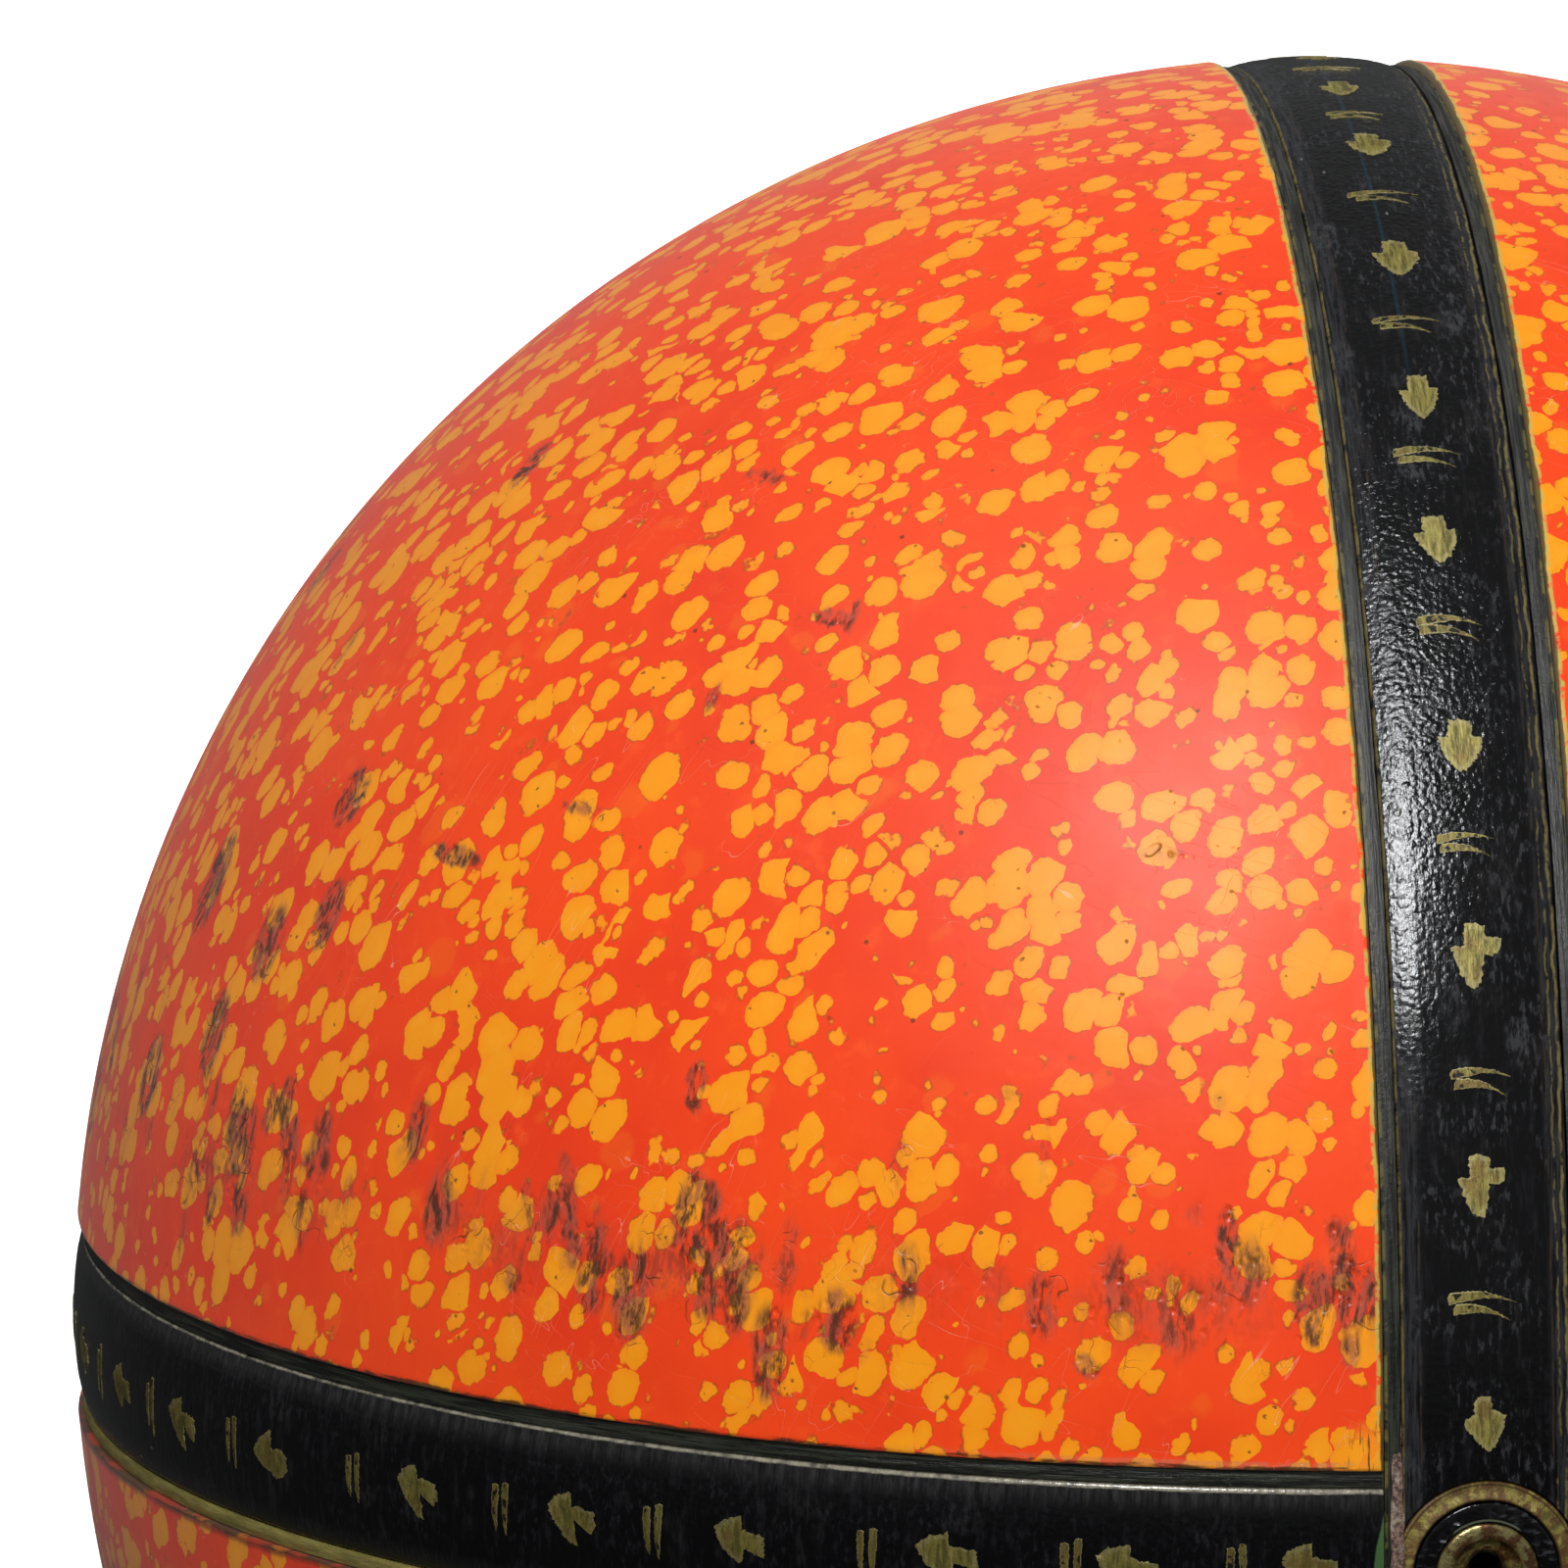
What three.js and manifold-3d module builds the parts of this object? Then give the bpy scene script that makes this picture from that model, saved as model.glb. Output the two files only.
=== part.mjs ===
// Croquet ball, built from four spotted lacquer panels and two crossing black bands around a wooden core.
// Millimetres, +Z up. The origin is the centre of the ball and the front boss faces -Y.
// The vertical band lies in the YZ plane, the horizontal band in the XY plane. They cross at both bosses.

import * as THREE from 'three';
import { mergeVertices } from 'three/addons/utils/BufferGeometryUtils.js';
import Module from 'manifold-3d';

const wasm = await Module();
wasm.setup();

// whole ball
const ballRadius = 46.05; // 3 5/8 in across
const skinThickness = 3.15; // panels, bands and fillets, measured in from the surface
const glueGap = 0.3; // between the skin and the core

// bands
const bandHalfWidth = 2.95;
const bandCrownRise = 0.05; // middle of the crown over the panels
const bandCrownHeight = 0.25; // middle of the crown over its shoulders
const bandEdgeBreak = 0.15; // worn corner along both sides

// fillets, the thin dark strips on both sides of a band
const filletWidth = 0.55;
const filletDrop = 0.2; // top of the fillet under the panel beside it
const sideGap = 0.05; // band to fillet, and fillet to panel

// bosses, one where the bands cross at the front and one at the back
const bossOverhang = 0.31; // past the band's edge, into the fillets
const bossGap = 0.06; // all round the boss in its round pocket
const bossStemRadius = 1.6;
const bossStemLength = 6.3;
const bossCrownRise = 0.02; // middle of the boss's face over the panels
const bossFaceDrop = 0.06; // edge of the boss's face under its middle
const socketGap = 0.06; // round the stem
const socketEndGap = 0.3;

// gilt rim, set in a step round the boss
const rimWidth = 0.71;
const rimHeight = 0.62;
const rimBreak = 0.1;
const rimGap = 0.05;

// brass eyelet in the middle of the boss
const eyeletFlangeRadius = 1.78;
const eyeletFlangeThickness = 0.42;
const eyeletRise = 0.12; // flange over the ball's surface
const eyeletMouthRadius = 1.25;
const eyeletBoreRadius = 0.5;
const eyeletTubeRadius = 0.95;
const eyeletFunnelDepth = 1.3;
const eyeletLength = 4.6;
const eyeletGap = 0.05;
const eyeletEndGap = 0.4;

// ends of the vertical fillets, which meet beside the bosses
const filletEndGap = 0.05;

// smoothness
const roundSegments = 72;
const hiddenSegments = 36;
const bossSegments = 32;

// sizes that follow from those above
const floorRadius = ballRadius - skinThickness;
const coreRadius = floorRadius - glueGap;
const filletInner = bandHalfWidth + sideGap;
const filletOuter = filletInner + filletWidth;
const channelHalfWidth = filletOuter + sideGap;
const crownRadius = ballRadius + bandCrownRise;
const bossRadius = bandHalfWidth + bossOverhang;
const bossFaceHeight = ballRadius + bossCrownRise;
const rimInnerRadius = bossRadius - rimWidth;
const rimTop = Math.sqrt(ballRadius ** 2 - rimInnerRadius ** 2) + bossCrownRise;
const rimFloor = rimTop - rimHeight;
const eyeletTop = ballRadius + eyeletRise;
const reach = 2 * ballRadius; // longer than any cut has to be

function toSolid(geometry) {
  const bare = geometry.clone();
  bare.deleteAttribute('normal');
  bare.deleteAttribute('uv');
  const merged = mergeVertices(bare, 1e-5);
  const mesh = new wasm.Mesh({
    numProp: 3,
    vertProperties: new Float32Array(merged.attributes.position.array),
    triVerts: new Uint32Array(merged.index.array),
  });
  mesh.merge();
  return new wasm.Manifold(mesh);
}

function toGeometry(solid) {
  const mesh = solid.getMesh();
  const geometry = new THREE.BufferGeometry();
  geometry.setAttribute('position', new THREE.BufferAttribute(new Float32Array(mesh.vertProperties), 3));
  geometry.setIndex(new THREE.BufferAttribute(new Uint32Array(mesh.triVerts), 1));
  geometry.computeVertexNormals();
  return geometry;
}

// a sphere whose poles are at the two bosses
function sphere(radius, segments) {
  return toSolid(new THREE.SphereGeometry(radius, segments, segments / 2));
}

// profile points are [distance from the axis, position along it]
function turned(profile, segments) {
  const points = profile.map(([r, h]) => new THREE.Vector2(r, h));
  return new THREE.LatheGeometry(points, segments);
}

// a ring round the ball: along X for the vertical band, along Z for the horizontal one
function ring(profile, axis) {
  const geometry = turned([...profile, profile[0]], roundSegments);
  if (axis === 'x') geometry.rotateZ(-Math.PI / 2);
  else geometry.rotateX(Math.PI / 2);
  return toSolid(geometry);
}

function block(lowX, highX, lowZ, highZ) {
  const geometry = new THREE.BoxGeometry(highX - lowX, 2 * reach, highZ - lowZ);
  geometry.translate((lowX + highX) / 2, 0, (lowZ + highZ) / 2);
  return toSolid(geometry);
}

// side is -1 for the front boss and 1 for the back one
function bossPart(profile, side) {
  const geometry = turned(profile, bossSegments);
  if (side < 0) geometry.rotateX(Math.PI);
  return geometry;
}

function plug(radius, fromHeight, side) {
  const profile = [[0, fromHeight], [radius, fromHeight], [radius, reach], [0, reach]];
  return toSolid(bossPart(profile, side));
}

function bandProfile() {
  const crown = (across) => crownRadius - bandCrownHeight * (across / bandHalfWidth) ** 2;
  const shoulder = bandHalfWidth - bandEdgeBreak;
  const tops = [-shoulder, -shoulder / 2, 0, shoulder / 2, shoulder];
  return [
    [floorRadius, bandHalfWidth],
    [floorRadius, -bandHalfWidth],
    [crown(bandHalfWidth) - bandEdgeBreak, -bandHalfWidth],
    ...tops.map((across) => [crown(across), across]),
    [crown(bandHalfWidth) - bandEdgeBreak, bandHalfWidth],
  ];
}

function filletProfile(side) {
  const top = (across) => Math.sqrt(ballRadius ** 2 - across ** 2) - filletDrop;
  const corners = [
    [floorRadius, filletOuter],
    [floorRadius, filletInner],
    [top(filletInner), filletInner],
    [top(filletOuter), filletOuter],
  ];
  if (side > 0) return corners;
  return corners.map(([r, across]) => [r, -across]).reverse();
}

// the body of a boss: stem, disc, step for the rim and seat for the eyelet
function bossProfile() {
  const seat = eyeletTop - eyeletFlangeThickness - eyeletGap;
  const seatRadius = eyeletFlangeRadius + eyeletGap;
  const boreRadius = eyeletTubeRadius + eyeletGap;
  const boreEnd = eyeletTop - eyeletLength - eyeletEndGap;
  const stepRadius = rimInnerRadius - rimGap;
  return [
    [0, floorRadius - bossStemLength],
    [bossStemRadius, floorRadius - bossStemLength],
    [bossStemRadius, floorRadius],
    [bossRadius, floorRadius],
    [bossRadius, rimFloor - rimGap],
    [stepRadius, rimFloor - rimGap],
    [stepRadius, bossFaceHeight - bossFaceDrop],
    [seatRadius, bossFaceHeight],
    [seatRadius, seat],
    [boreRadius, seat],
    [boreRadius, boreEnd],
    [0, boreEnd],
  ];
}

function rimProfile() {
  return [
    [rimInnerRadius, rimFloor],
    [bossRadius, rimFloor],
    [bossRadius, rimTop - rimBreak],
    [bossRadius - rimBreak, rimTop],
    [rimInnerRadius + rimBreak, rimTop],
    [rimInnerRadius, rimTop - rimBreak],
    [rimInnerRadius, rimFloor],
  ];
}

function eyeletProfile() {
  const under = eyeletTop - eyeletFlangeThickness;
  const rounded = eyeletFlangeThickness / 3;
  return [
    [eyeletBoreRadius, eyeletTop - eyeletLength],
    [eyeletTubeRadius, eyeletTop - eyeletLength],
    [eyeletTubeRadius, under],
    [eyeletFlangeRadius, under],
    [eyeletFlangeRadius, eyeletTop - rounded],
    [eyeletFlangeRadius - rounded, eyeletTop],
    [eyeletMouthRadius, eyeletTop],
    [eyeletBoreRadius, eyeletTop - eyeletFunnelDepth],
    [eyeletBoreRadius, eyeletTop - eyeletLength],
  ];
}

function core() {
  let solid = sphere(coreRadius, hiddenSegments);
  const socketFloor = floorRadius - bossStemLength - socketEndGap;
  for (const side of [-1, 1]) {
    solid = solid.subtract(plug(bossStemRadius + socketGap, socketFloor, side));
  }
  return toGeometry(solid);
}

// one quarter of the shell, between the two bands
function panel(sideX, sideZ) {
  const shell = sphere(ballRadius, roundSegments).subtract(sphere(floorRadius, hiddenSegments));
  const near = channelHalfWidth;
  const spanX = sideX < 0 ? [-reach, -near] : [near, reach];
  const spanZ = sideZ < 0 ? [-reach, -near] : [near, reach];
  return toGeometry(shell.intersect(block(...spanX, ...spanZ)));
}

function lessPockets(solid) {
  let rest = solid;
  for (const side of [-1, 1]) {
    rest = rest.subtract(plug(bossRadius + bossGap, 0, side));
  }
  return rest;
}

// the halves of the vertical band end at the bosses, and those of its fillets meet there
function verticalHalf(profile, sideZ) {
  const near = filletEndGap / 2;
  const half = sideZ < 0 ? block(-reach, reach, -reach, -near) : block(-reach, reach, near, reach);
  return toGeometry(lessPockets(ring(profile, 'x').intersect(half)));
}

// everything of the horizontal band ends against the vertical band's fillets
function horizontalHalf(profile, sideX) {
  const near = channelHalfWidth;
  const half = sideX < 0 ? block(-reach, -near, -reach, reach) : block(near, reach, -reach, reach);
  return toGeometry(lessPockets(ring(profile, 'z').intersect(half)));
}

function coreWood() {
  return new THREE.MeshStandardMaterial({ color: 0xb98a55, roughness: 0.7, metalness: 0 });
}

function panelLacquer() {
  return new THREE.MeshStandardMaterial({ color: 0xf0501e, roughness: 0.25, metalness: 0 });
}

function bandLacquer() {
  return new THREE.MeshStandardMaterial({ color: 0x121113, roughness: 0.3, metalness: 0 });
}

function filletPaint() {
  return new THREE.MeshStandardMaterial({ color: 0x2c2c22, roughness: 0.5, metalness: 0 });
}

function gilt() {
  return new THREE.MeshStandardMaterial({ color: 0x9a8c4e, roughness: 0.4, metalness: 0.8 });
}

function agedBrass() {
  return new THREE.MeshStandardMaterial({ color: 0x8e7640, roughness: 0.35, metalness: 0.9 });
}

const group = new THREE.Group();
group.name = 'croquet_ball';

function add(name, geometry, material) {
  const mesh = new THREE.Mesh(geometry, material);
  mesh.name = name;
  group.add(mesh);
}

const leftRight = { left: -1, right: 1 };
const lowerUpper = { lower: -1, upper: 1 };
const frontBack = { front: -1, back: 1 };

add('core', core(), coreWood());

for (const [level, sideZ] of Object.entries(lowerUpper)) {
  const edging = sideZ < 0 ? gilt : filletPaint; // the lower fillets of the horizontal band are gilt
  for (const [hand, sideX] of Object.entries(leftRight)) {
    add(`panel_${level}_${hand}`, panel(sideX, sideZ), panelLacquer());
    add(`horizontal_fillet_${level}_${hand}`, horizontalHalf(filletProfile(sideZ), sideX), edging());
    add(`vertical_fillet_${level}_${hand}`, verticalHalf(filletProfile(sideX), sideZ), filletPaint());
  }
  add(`vertical_band_${level}`, verticalHalf(bandProfile(), sideZ), bandLacquer());
}

for (const [hand, sideX] of Object.entries(leftRight)) {
  add(`horizontal_band_${hand}`, horizontalHalf(bandProfile(), sideX), bandLacquer());
}

for (const [place, side] of Object.entries(frontBack)) {
  add(`boss_${place}`, bossPart(bossProfile(), side), bandLacquer());
  add(`boss_${place}_rim`, bossPart(rimProfile(), side), gilt());
  add(`boss_${place}_eyelet`, bossPart(eyeletProfile(), side), agedBrass());
}

export default group;
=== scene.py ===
import math
import random

import bmesh
import bpy
import numpy as np
from mathutils import Matrix, Vector, noise


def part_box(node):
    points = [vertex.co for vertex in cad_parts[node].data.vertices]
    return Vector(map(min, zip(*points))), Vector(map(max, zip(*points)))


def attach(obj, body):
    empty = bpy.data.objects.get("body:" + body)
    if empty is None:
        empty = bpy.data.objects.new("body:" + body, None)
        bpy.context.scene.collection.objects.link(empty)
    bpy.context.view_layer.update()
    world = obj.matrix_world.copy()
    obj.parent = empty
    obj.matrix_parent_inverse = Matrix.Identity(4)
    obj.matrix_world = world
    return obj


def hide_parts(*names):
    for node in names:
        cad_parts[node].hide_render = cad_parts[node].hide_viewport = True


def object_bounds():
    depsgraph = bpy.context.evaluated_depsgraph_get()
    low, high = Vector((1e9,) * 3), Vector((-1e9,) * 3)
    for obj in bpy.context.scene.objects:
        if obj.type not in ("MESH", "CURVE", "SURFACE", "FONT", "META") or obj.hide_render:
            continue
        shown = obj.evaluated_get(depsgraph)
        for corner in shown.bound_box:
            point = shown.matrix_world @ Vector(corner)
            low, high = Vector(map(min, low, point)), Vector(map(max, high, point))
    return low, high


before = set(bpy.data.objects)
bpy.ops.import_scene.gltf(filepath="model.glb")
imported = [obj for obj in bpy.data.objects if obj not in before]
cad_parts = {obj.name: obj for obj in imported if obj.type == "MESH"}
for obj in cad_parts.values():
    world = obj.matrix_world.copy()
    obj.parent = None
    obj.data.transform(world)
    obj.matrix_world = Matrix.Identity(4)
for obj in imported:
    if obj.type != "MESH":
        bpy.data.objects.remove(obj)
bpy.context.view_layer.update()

# Lacquered croquet ball. Shapes are worked out in millimetres and scaled once, when a mesh is made.
# The ball's centre is the origin, the front boss faces -Y and +Z is up.
mm = 0.001
scene = bpy.context.scene


def sizeOf(node, corner, axis):
    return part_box(node)[corner][axis] / mm


# main sizes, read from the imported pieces
crownRadius = sizeOf("vertical_band_upper", 1, 2)
bandHalf = sizeOf("vertical_band_upper", 1, 0)
filletInner = sizeOf("vertical_fillet_upper_right", 0, 0)
filletOuter = sizeOf("vertical_fillet_upper_right", 1, 0)
panelEdge = sizeOf("panel_upper_right", 0, 0)
bossRadius = sizeOf("boss_front", 1, 0)
bossFace = sizeOf("boss_back", 1, 1)
stemEnd = sizeOf("boss_back", 0, 1)
rimTop = sizeOf("boss_back_rim", 1, 1)
rimFloor = sizeOf("boss_back_rim", 0, 1)
eyeletTop = sizeOf("boss_back_eyelet", 1, 1)
eyeletEnd = sizeOf("boss_back_eyelet", 0, 1)
eyeletRadius = sizeOf("boss_back_eyelet", 1, 0)

ball = {
    "radius": crownRadius - 0.05,
    "floor": crownRadius - 3.2,  # where the skin ends and the wooden core begins
    "pocket": bossRadius + 0.06,  # round hole in the bands for a boss
}
ballRadius = ball["radius"]
floorRadius = ball["floor"]


def makePiece(name, points, faces, material, smoothAngle=38, layers=None):
    mesh = bpy.data.meshes.new(name)
    mesh.from_pydata([tuple(c * mm for c in p) for p in points], [], [tuple(f) for f in faces])
    for key, values in (layers or {}).items():
        layer = mesh.attributes.new(key, "FLOAT", "POINT")
        layer.data.foreach_set("value", np.array(values, dtype=np.float32))
    work = bmesh.new()
    work.from_mesh(mesh)
    bmesh.ops.remove_doubles(work, verts=work.verts, dist=1e-7)
    bmesh.ops.recalc_face_normals(work, faces=work.faces)
    work.to_mesh(mesh)
    work.free()
    mesh.shade_smooth()
    mesh.set_sharp_from_angle(angle=math.radians(smoothAngle))
    mesh.materials.append(material)
    piece = bpy.data.objects.new(name, mesh)
    scene.collection.objects.link(piece)
    return piece


def finishPiece(piece, slot, *nodes):
    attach(piece, "root")
    if nodes:
        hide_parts(*nodes)
    return piece


def onRing(ring, angle, across, radius):
    # a point on a band: angle runs from the front boss up over the top, or round the left side
    if ring == "vertical":
        return (across, -radius * math.cos(angle), radius * math.sin(angle))
    return (-radius * math.sin(angle), -radius * math.cos(angle), across)


class Finish:
    # a material and the short calls that build its nodes
    def __init__(self, name):
        self.material = bpy.data.materials.new(name)
        self.material.use_nodes = True
        self.tree = self.material.node_tree
        self.shader = self.tree.nodes["Principled BSDF"]
        place = self.add("TexCoord").outputs["Object"]
        self.place = self.vector("SCALE", place, scale=1 / mm)  # millimetres
        split = self.add("SeparateXYZ", {0: self.place})
        self.x, self.y, self.z = split.outputs

    def add(self, kind, inputs=None, **settings):
        made = self.tree.nodes.new("ShaderNode" + kind)
        for key, value in settings.items():
            setattr(made, key, value)
        for key, value in (inputs or {}).items():
            self.feed(made.inputs[key], value)
        return made

    def feed(self, socket, value):
        if isinstance(value, bpy.types.NodeSocket):
            self.tree.links.new(value, socket)
        else:
            socket.default_value = value

    def math(self, operation, a, b=0.0):
        return self.add("Math", {0: a, 1: b}, operation=operation).outputs[0]

    def times(self, a, b):
        return self.math("MULTIPLY", a, b)

    def plus(self, a, b):
        return self.math("ADD", a, b)

    def minus(self, a, b):
        return self.math("SUBTRACT", a, b)

    def larger(self, a, b):
        return self.math("MAXIMUM", a, b)

    def smaller(self, a, b):
        return self.math("MINIMUM", a, b)

    def unsigned(self, a):
        return self.math("ABSOLUTE", a)

    def vector(self, operation, a, b=(0, 0, 0), scale=1.0):
        made = self.add("VectorMath", {0: a, 1: b}, operation=operation)
        if operation == "SCALE":
            self.feed(made.inputs["Scale"], scale)
        return made.outputs["Value" if operation in ("DOT_PRODUCT", "LENGTH") else "Vector"]

    def shift(self, place, by):
        return self.vector("ADD", place, by)

    def stretch(self, place, by):
        return self.vector("MULTIPLY", place, by)

    def join(self, x, y, z):
        return self.add("CombineXYZ", {0: x, 1: y, 2: z}).outputs[0]

    def noise(self, place, scale, detail=2.0, rough=0.5):
        made = self.add("TexNoise", {"Vector": place, "Scale": scale, "Detail": detail, "Roughness": rough})
        return made.outputs["Fac"]

    def streaks(self, place, drawn, detail, rough):
        # noise drawn out along the axes that have the smaller numbers
        return self.noise(self.stretch(place, drawn), 1.0, detail, rough)

    def drift(self, place, scale, amount, detail=1.0):
        # a small random shift of a place
        made = self.add("TexNoise", {"Vector": place, "Scale": scale, "Detail": detail})
        centred = self.vector("SUBTRACT", made.outputs["Color"], (0.5, 0.5, 0.5))
        return self.vector("SCALE", centred, scale=amount)

    def cells(self, place, spacing, feature="F1"):
        made = self.add("TexVoronoi", {"Vector": place, "Scale": 1 / spacing}, feature=feature)
        colour = None if feature == "DISTANCE_TO_EDGE" else made.outputs["Color"]
        return self.times(made.outputs["Distance"], spacing), colour

    def pick(self, colour, channel=0):
        return self.add("SeparateColor", {0: colour}).outputs[channel]

    def rise(self, value, low, high, top=1.0):
        # 0 under low, top over high, smooth between
        limits = {0: value, 1: low, 2: high, 3: 0.0, 4: top}
        return self.add("MapRange", limits, interpolation_type="SMOOTHSTEP").outputs[0]

    def spread(self, value, low, high):
        return self.add("MapRange", {0: value, 1: 0.0, 2: 1.0, 3: low, 4: high}).outputs[0]

    def band(self, value, low, high, soft):
        # 1 between low and high
        up = self.rise(value, low - soft, low + soft)
        down = self.rise(value, high - soft, high + soft)
        return self.minus(up, down)

    def mix(self, share, a, b):
        made = self.add("Mix", data_type="RGBA")
        for index, value in ((0, share), (6, a), (7, b)):
            if index and not isinstance(value, bpy.types.NodeSocket):
                value = (*value, 1.0)
            self.feed(made.inputs[index], value)
        return made.outputs[2]

    def bump(self, height, distance, strength=1.0, below=None):
        made = self.add("Bump", {"Height": height, "Distance": distance * mm, "Strength": strength})
        if below:
            self.feed(made.inputs["Normal"], below)
        return made.outputs["Normal"]

    def fromAxis(self):
        # distance from the axis of the bosses
        return self.vector("LENGTH", self.join(self.x, 0.0, self.z))

    def done(self, colour, roughness, normal, fixed=None):
        self.feed(self.shader.inputs["Base Color"], colour)
        self.feed(self.shader.inputs["Roughness"], roughness)
        self.feed(self.shader.inputs["Normal"], normal)
        for key, value in (fixed or {}).items():
            self.shader.inputs[key].default_value = value
        return self.material


def lacquerCell(f, place, spacing, low, high, ragged):
    # spots of random size: the distance inside each spot's outline, in millimetres
    distance, colour = f.cells(place, spacing)
    size = f.spread(f.pick(colour), low, high)
    return f.minus(f.plus(size, ragged), distance)


spottedLook = {
    "red": (0.95, 0.066, 0.0090),
    "redDeep": (0.84, 0.043, 0.0090),
    "redPale": (0.97, 0.098, 0.0150),
    "yellow": (0.97, 0.325, 0.0070),
    "yellowPale": (0.98, 0.37, 0.014),
    "outline": (0.34, 0.085, 0.008),
    "haze": (0.30, 0.085, 0.055),
    "smoke": (0.050, 0.022, 0.012),
    "pit": (0.10, 0.035, 0.008),
    "primer": (0.52, 0.19, 0.10),
    "rust": (0.16, 0.022, 0.008),
    "dash": (0.030, 0.022, 0.008),
    "undercoat": (0.55, 0.40, 0.08),
    "score": (0.05, 0.025, 0.008),
    "olive": (0.055, 0.050, 0.012),
    "scratch": (1.0, 0.62, 0.45),
    "spotSpacing": 1.20,
    "spotRadius": (0.23, 0.80),
    "dotSpacing": 0.90,
    "dotRadius": (-0.36, 0.34),
    "flick": (0.42, -0.30, 0.86),  # spots are drawn out a little along the way the brush flicked them
    "flickAmount": 0.24,
    "scratches": ((0.6, 0.0022), (2.1, 0.0018)),  # turned by, thickness
    "shader": {"IOR": 1.5, "Specular IOR Level": 0.22, "Sheen Weight": 0.12, "Sheen Roughness": 0.45},
}


def spotsAndGround(f, wide, fine):
    # returns the share of spot and the colour of the spots and the coat between them
    look = spottedLook
    warped = f.shift(f.shift(f.place, wide), fine)
    along = f.vector("DOT_PRODUCT", warped, look["flick"])
    drawn = f.vector("SCALE", look["flick"], scale=f.times(along, look["flickAmount"]))
    warped = f.vector("SUBTRACT", warped, drawn)
    ragged = f.times(f.minus(f.noise(f.place, 4.0, 1.0, 0.5), 0.5), 0.16)
    large = lacquerCell(f, warped, look["spotSpacing"], *look["spotRadius"], ragged)
    dotPlace = f.shift(warped, (31, 7, 13))
    dots = lacquerCell(f, dotPlace, look["dotSpacing"], *look["dotRadius"], ragged)
    inside = f.larger(large, dots)
    spot = f.rise(inside, -0.015, 0.025)
    line = f.band(inside, -0.035, 0.02, 0.015)
    line = f.times(line, f.rise(f.noise(f.place, 1.7, 3.0, 0.7), 0.38, 0.62, 0.55))

    # ground coat, with thinner and thicker places and a few spots that show through it faintly
    cloud = f.noise(f.place, 0.11, 3.0, 0.6)
    streak = f.streaks(f.place, (1.2, 1.2, 0.35), 3.0, 0.6)
    red = f.mix(f.rise(cloud, 0.35, 0.75), look["red"], look["redDeep"])
    red = f.mix(f.rise(streak, 0.52, 0.80, 0.35), red, look["redDeep"])
    red = f.mix(f.rise(f.noise(f.place, 0.75, 4.0, 0.65), 0.54, 0.74, 0.6), red, look["redPale"])
    under = lacquerCell(f, f.shift(warped, (5, 71, 29)), 1.9, -0.6, 0.75, ragged)
    red = f.mix(f.rise(under, -0.1, 0.12, 0.12), red, look["yellow"])
    yellow = f.mix(f.rise(f.noise(f.place, 0.9, 2.0), 0.40, 0.75, 0.6), look["yellow"], look["yellowPale"])
    yellow = f.mix(f.rise(inside, 0.30, 0.0, 0.12), yellow, look["red"])
    return spot, f.mix(line, f.mix(spot, red, yellow), look["outline"])


def pitsAndSpecks(f, spot, colour):
    # small pits, mostly in the spots, and a few specks anywhere
    look = spottedLook
    pitDistance, pitColour = f.cells(f.shift(f.place, f.drift(f.place, 6.0, 0.2)), 0.42)
    patch = f.rise(f.noise(f.place, 0.75, 2.0, 0.6), 0.50, 0.62)
    crowd = f.plus(f.times(spot, 0.35), f.times(patch, 0.52))
    chosen = f.rise(f.times(f.pick(pitColour, 1), crowd), 0.50, 0.56)
    pit = f.times(f.rise(pitDistance, 0.10, 0.04), chosen)
    colour = f.mix(f.times(pit, 0.75), colour, look["pit"])
    speckDistance, speckColour = f.cells(f.place, 1.9)
    speck = f.times(f.rise(speckDistance, 0.13, 0.05), f.rise(f.pick(speckColour, 2), 0.45, 0.5))
    return pit, f.mix(f.times(speck, 0.8), colour, look["pit"])


def smokyBruises(f, smoke, wide, fine, colour):
    # where the mesh is dented: a mauve haze, with dark finer smears, arcs and dimples in it
    look = spottedLook
    drifted = f.shift(f.place, wide)
    wisps = f.streaks(drifted, (1.7, 1.7, 0.6), 4.0, 0.65)
    smears = f.streaks(drifted, (3.4, 3.4, 0.9), 4.0, 0.64)
    haze = f.times(f.rise(smoke, 0.05, 0.7, 0.75), f.rise(wisps, 0.34, 0.60))
    colour = f.mix(haze, colour, look["haze"])
    dark = f.times(f.rise(smoke, 0.12, 0.65), f.rise(smears, 0.43, 0.62, 0.88))
    colour = f.mix(dark, colour, look["smoke"])
    arcPlace = f.shift(f.place, f.drift(f.place, 0.9, 1.2))
    arcDistance = f.cells(arcPlace, 2.1)[0]
    arc = f.times(f.band(arcDistance, 0.63, 0.68, 0.025), f.rise(f.noise(f.place, 0.8, 2.0), 0.47, 0.58))
    arc = f.times(arc, f.rise(smoke, 0.05, 0.3, 0.8))
    colour = f.mix(arc, colour, look["pit"])
    dimple, dimpleColour = f.cells(f.shift(f.place, fine), 0.46)
    dimpled = f.times(f.rise(smoke, 0.10, 0.40), f.rise(f.pick(dimpleColour), 0.45, 0.55))
    return arc, f.times(f.rise(dimple, 0.20, 0.02), dimpled), colour


def spotCrackle(f, spot, smoke):
    # fine crackle in some of the spots
    place = f.shift(f.place, f.drift(f.place, 1.6, 0.8, 2.0))
    crackle = f.cells(place, 1.15, "DISTANCE_TO_EDGE")[0]
    crackle = f.times(f.rise(crackle, 0.026, 0.008), f.rise(f.noise(f.place, 0.5, 2.0), 0.53, 0.61, 0.7))
    return f.times(crackle, f.times(spot, f.rise(smoke, -0.04, 0.20)))


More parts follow.
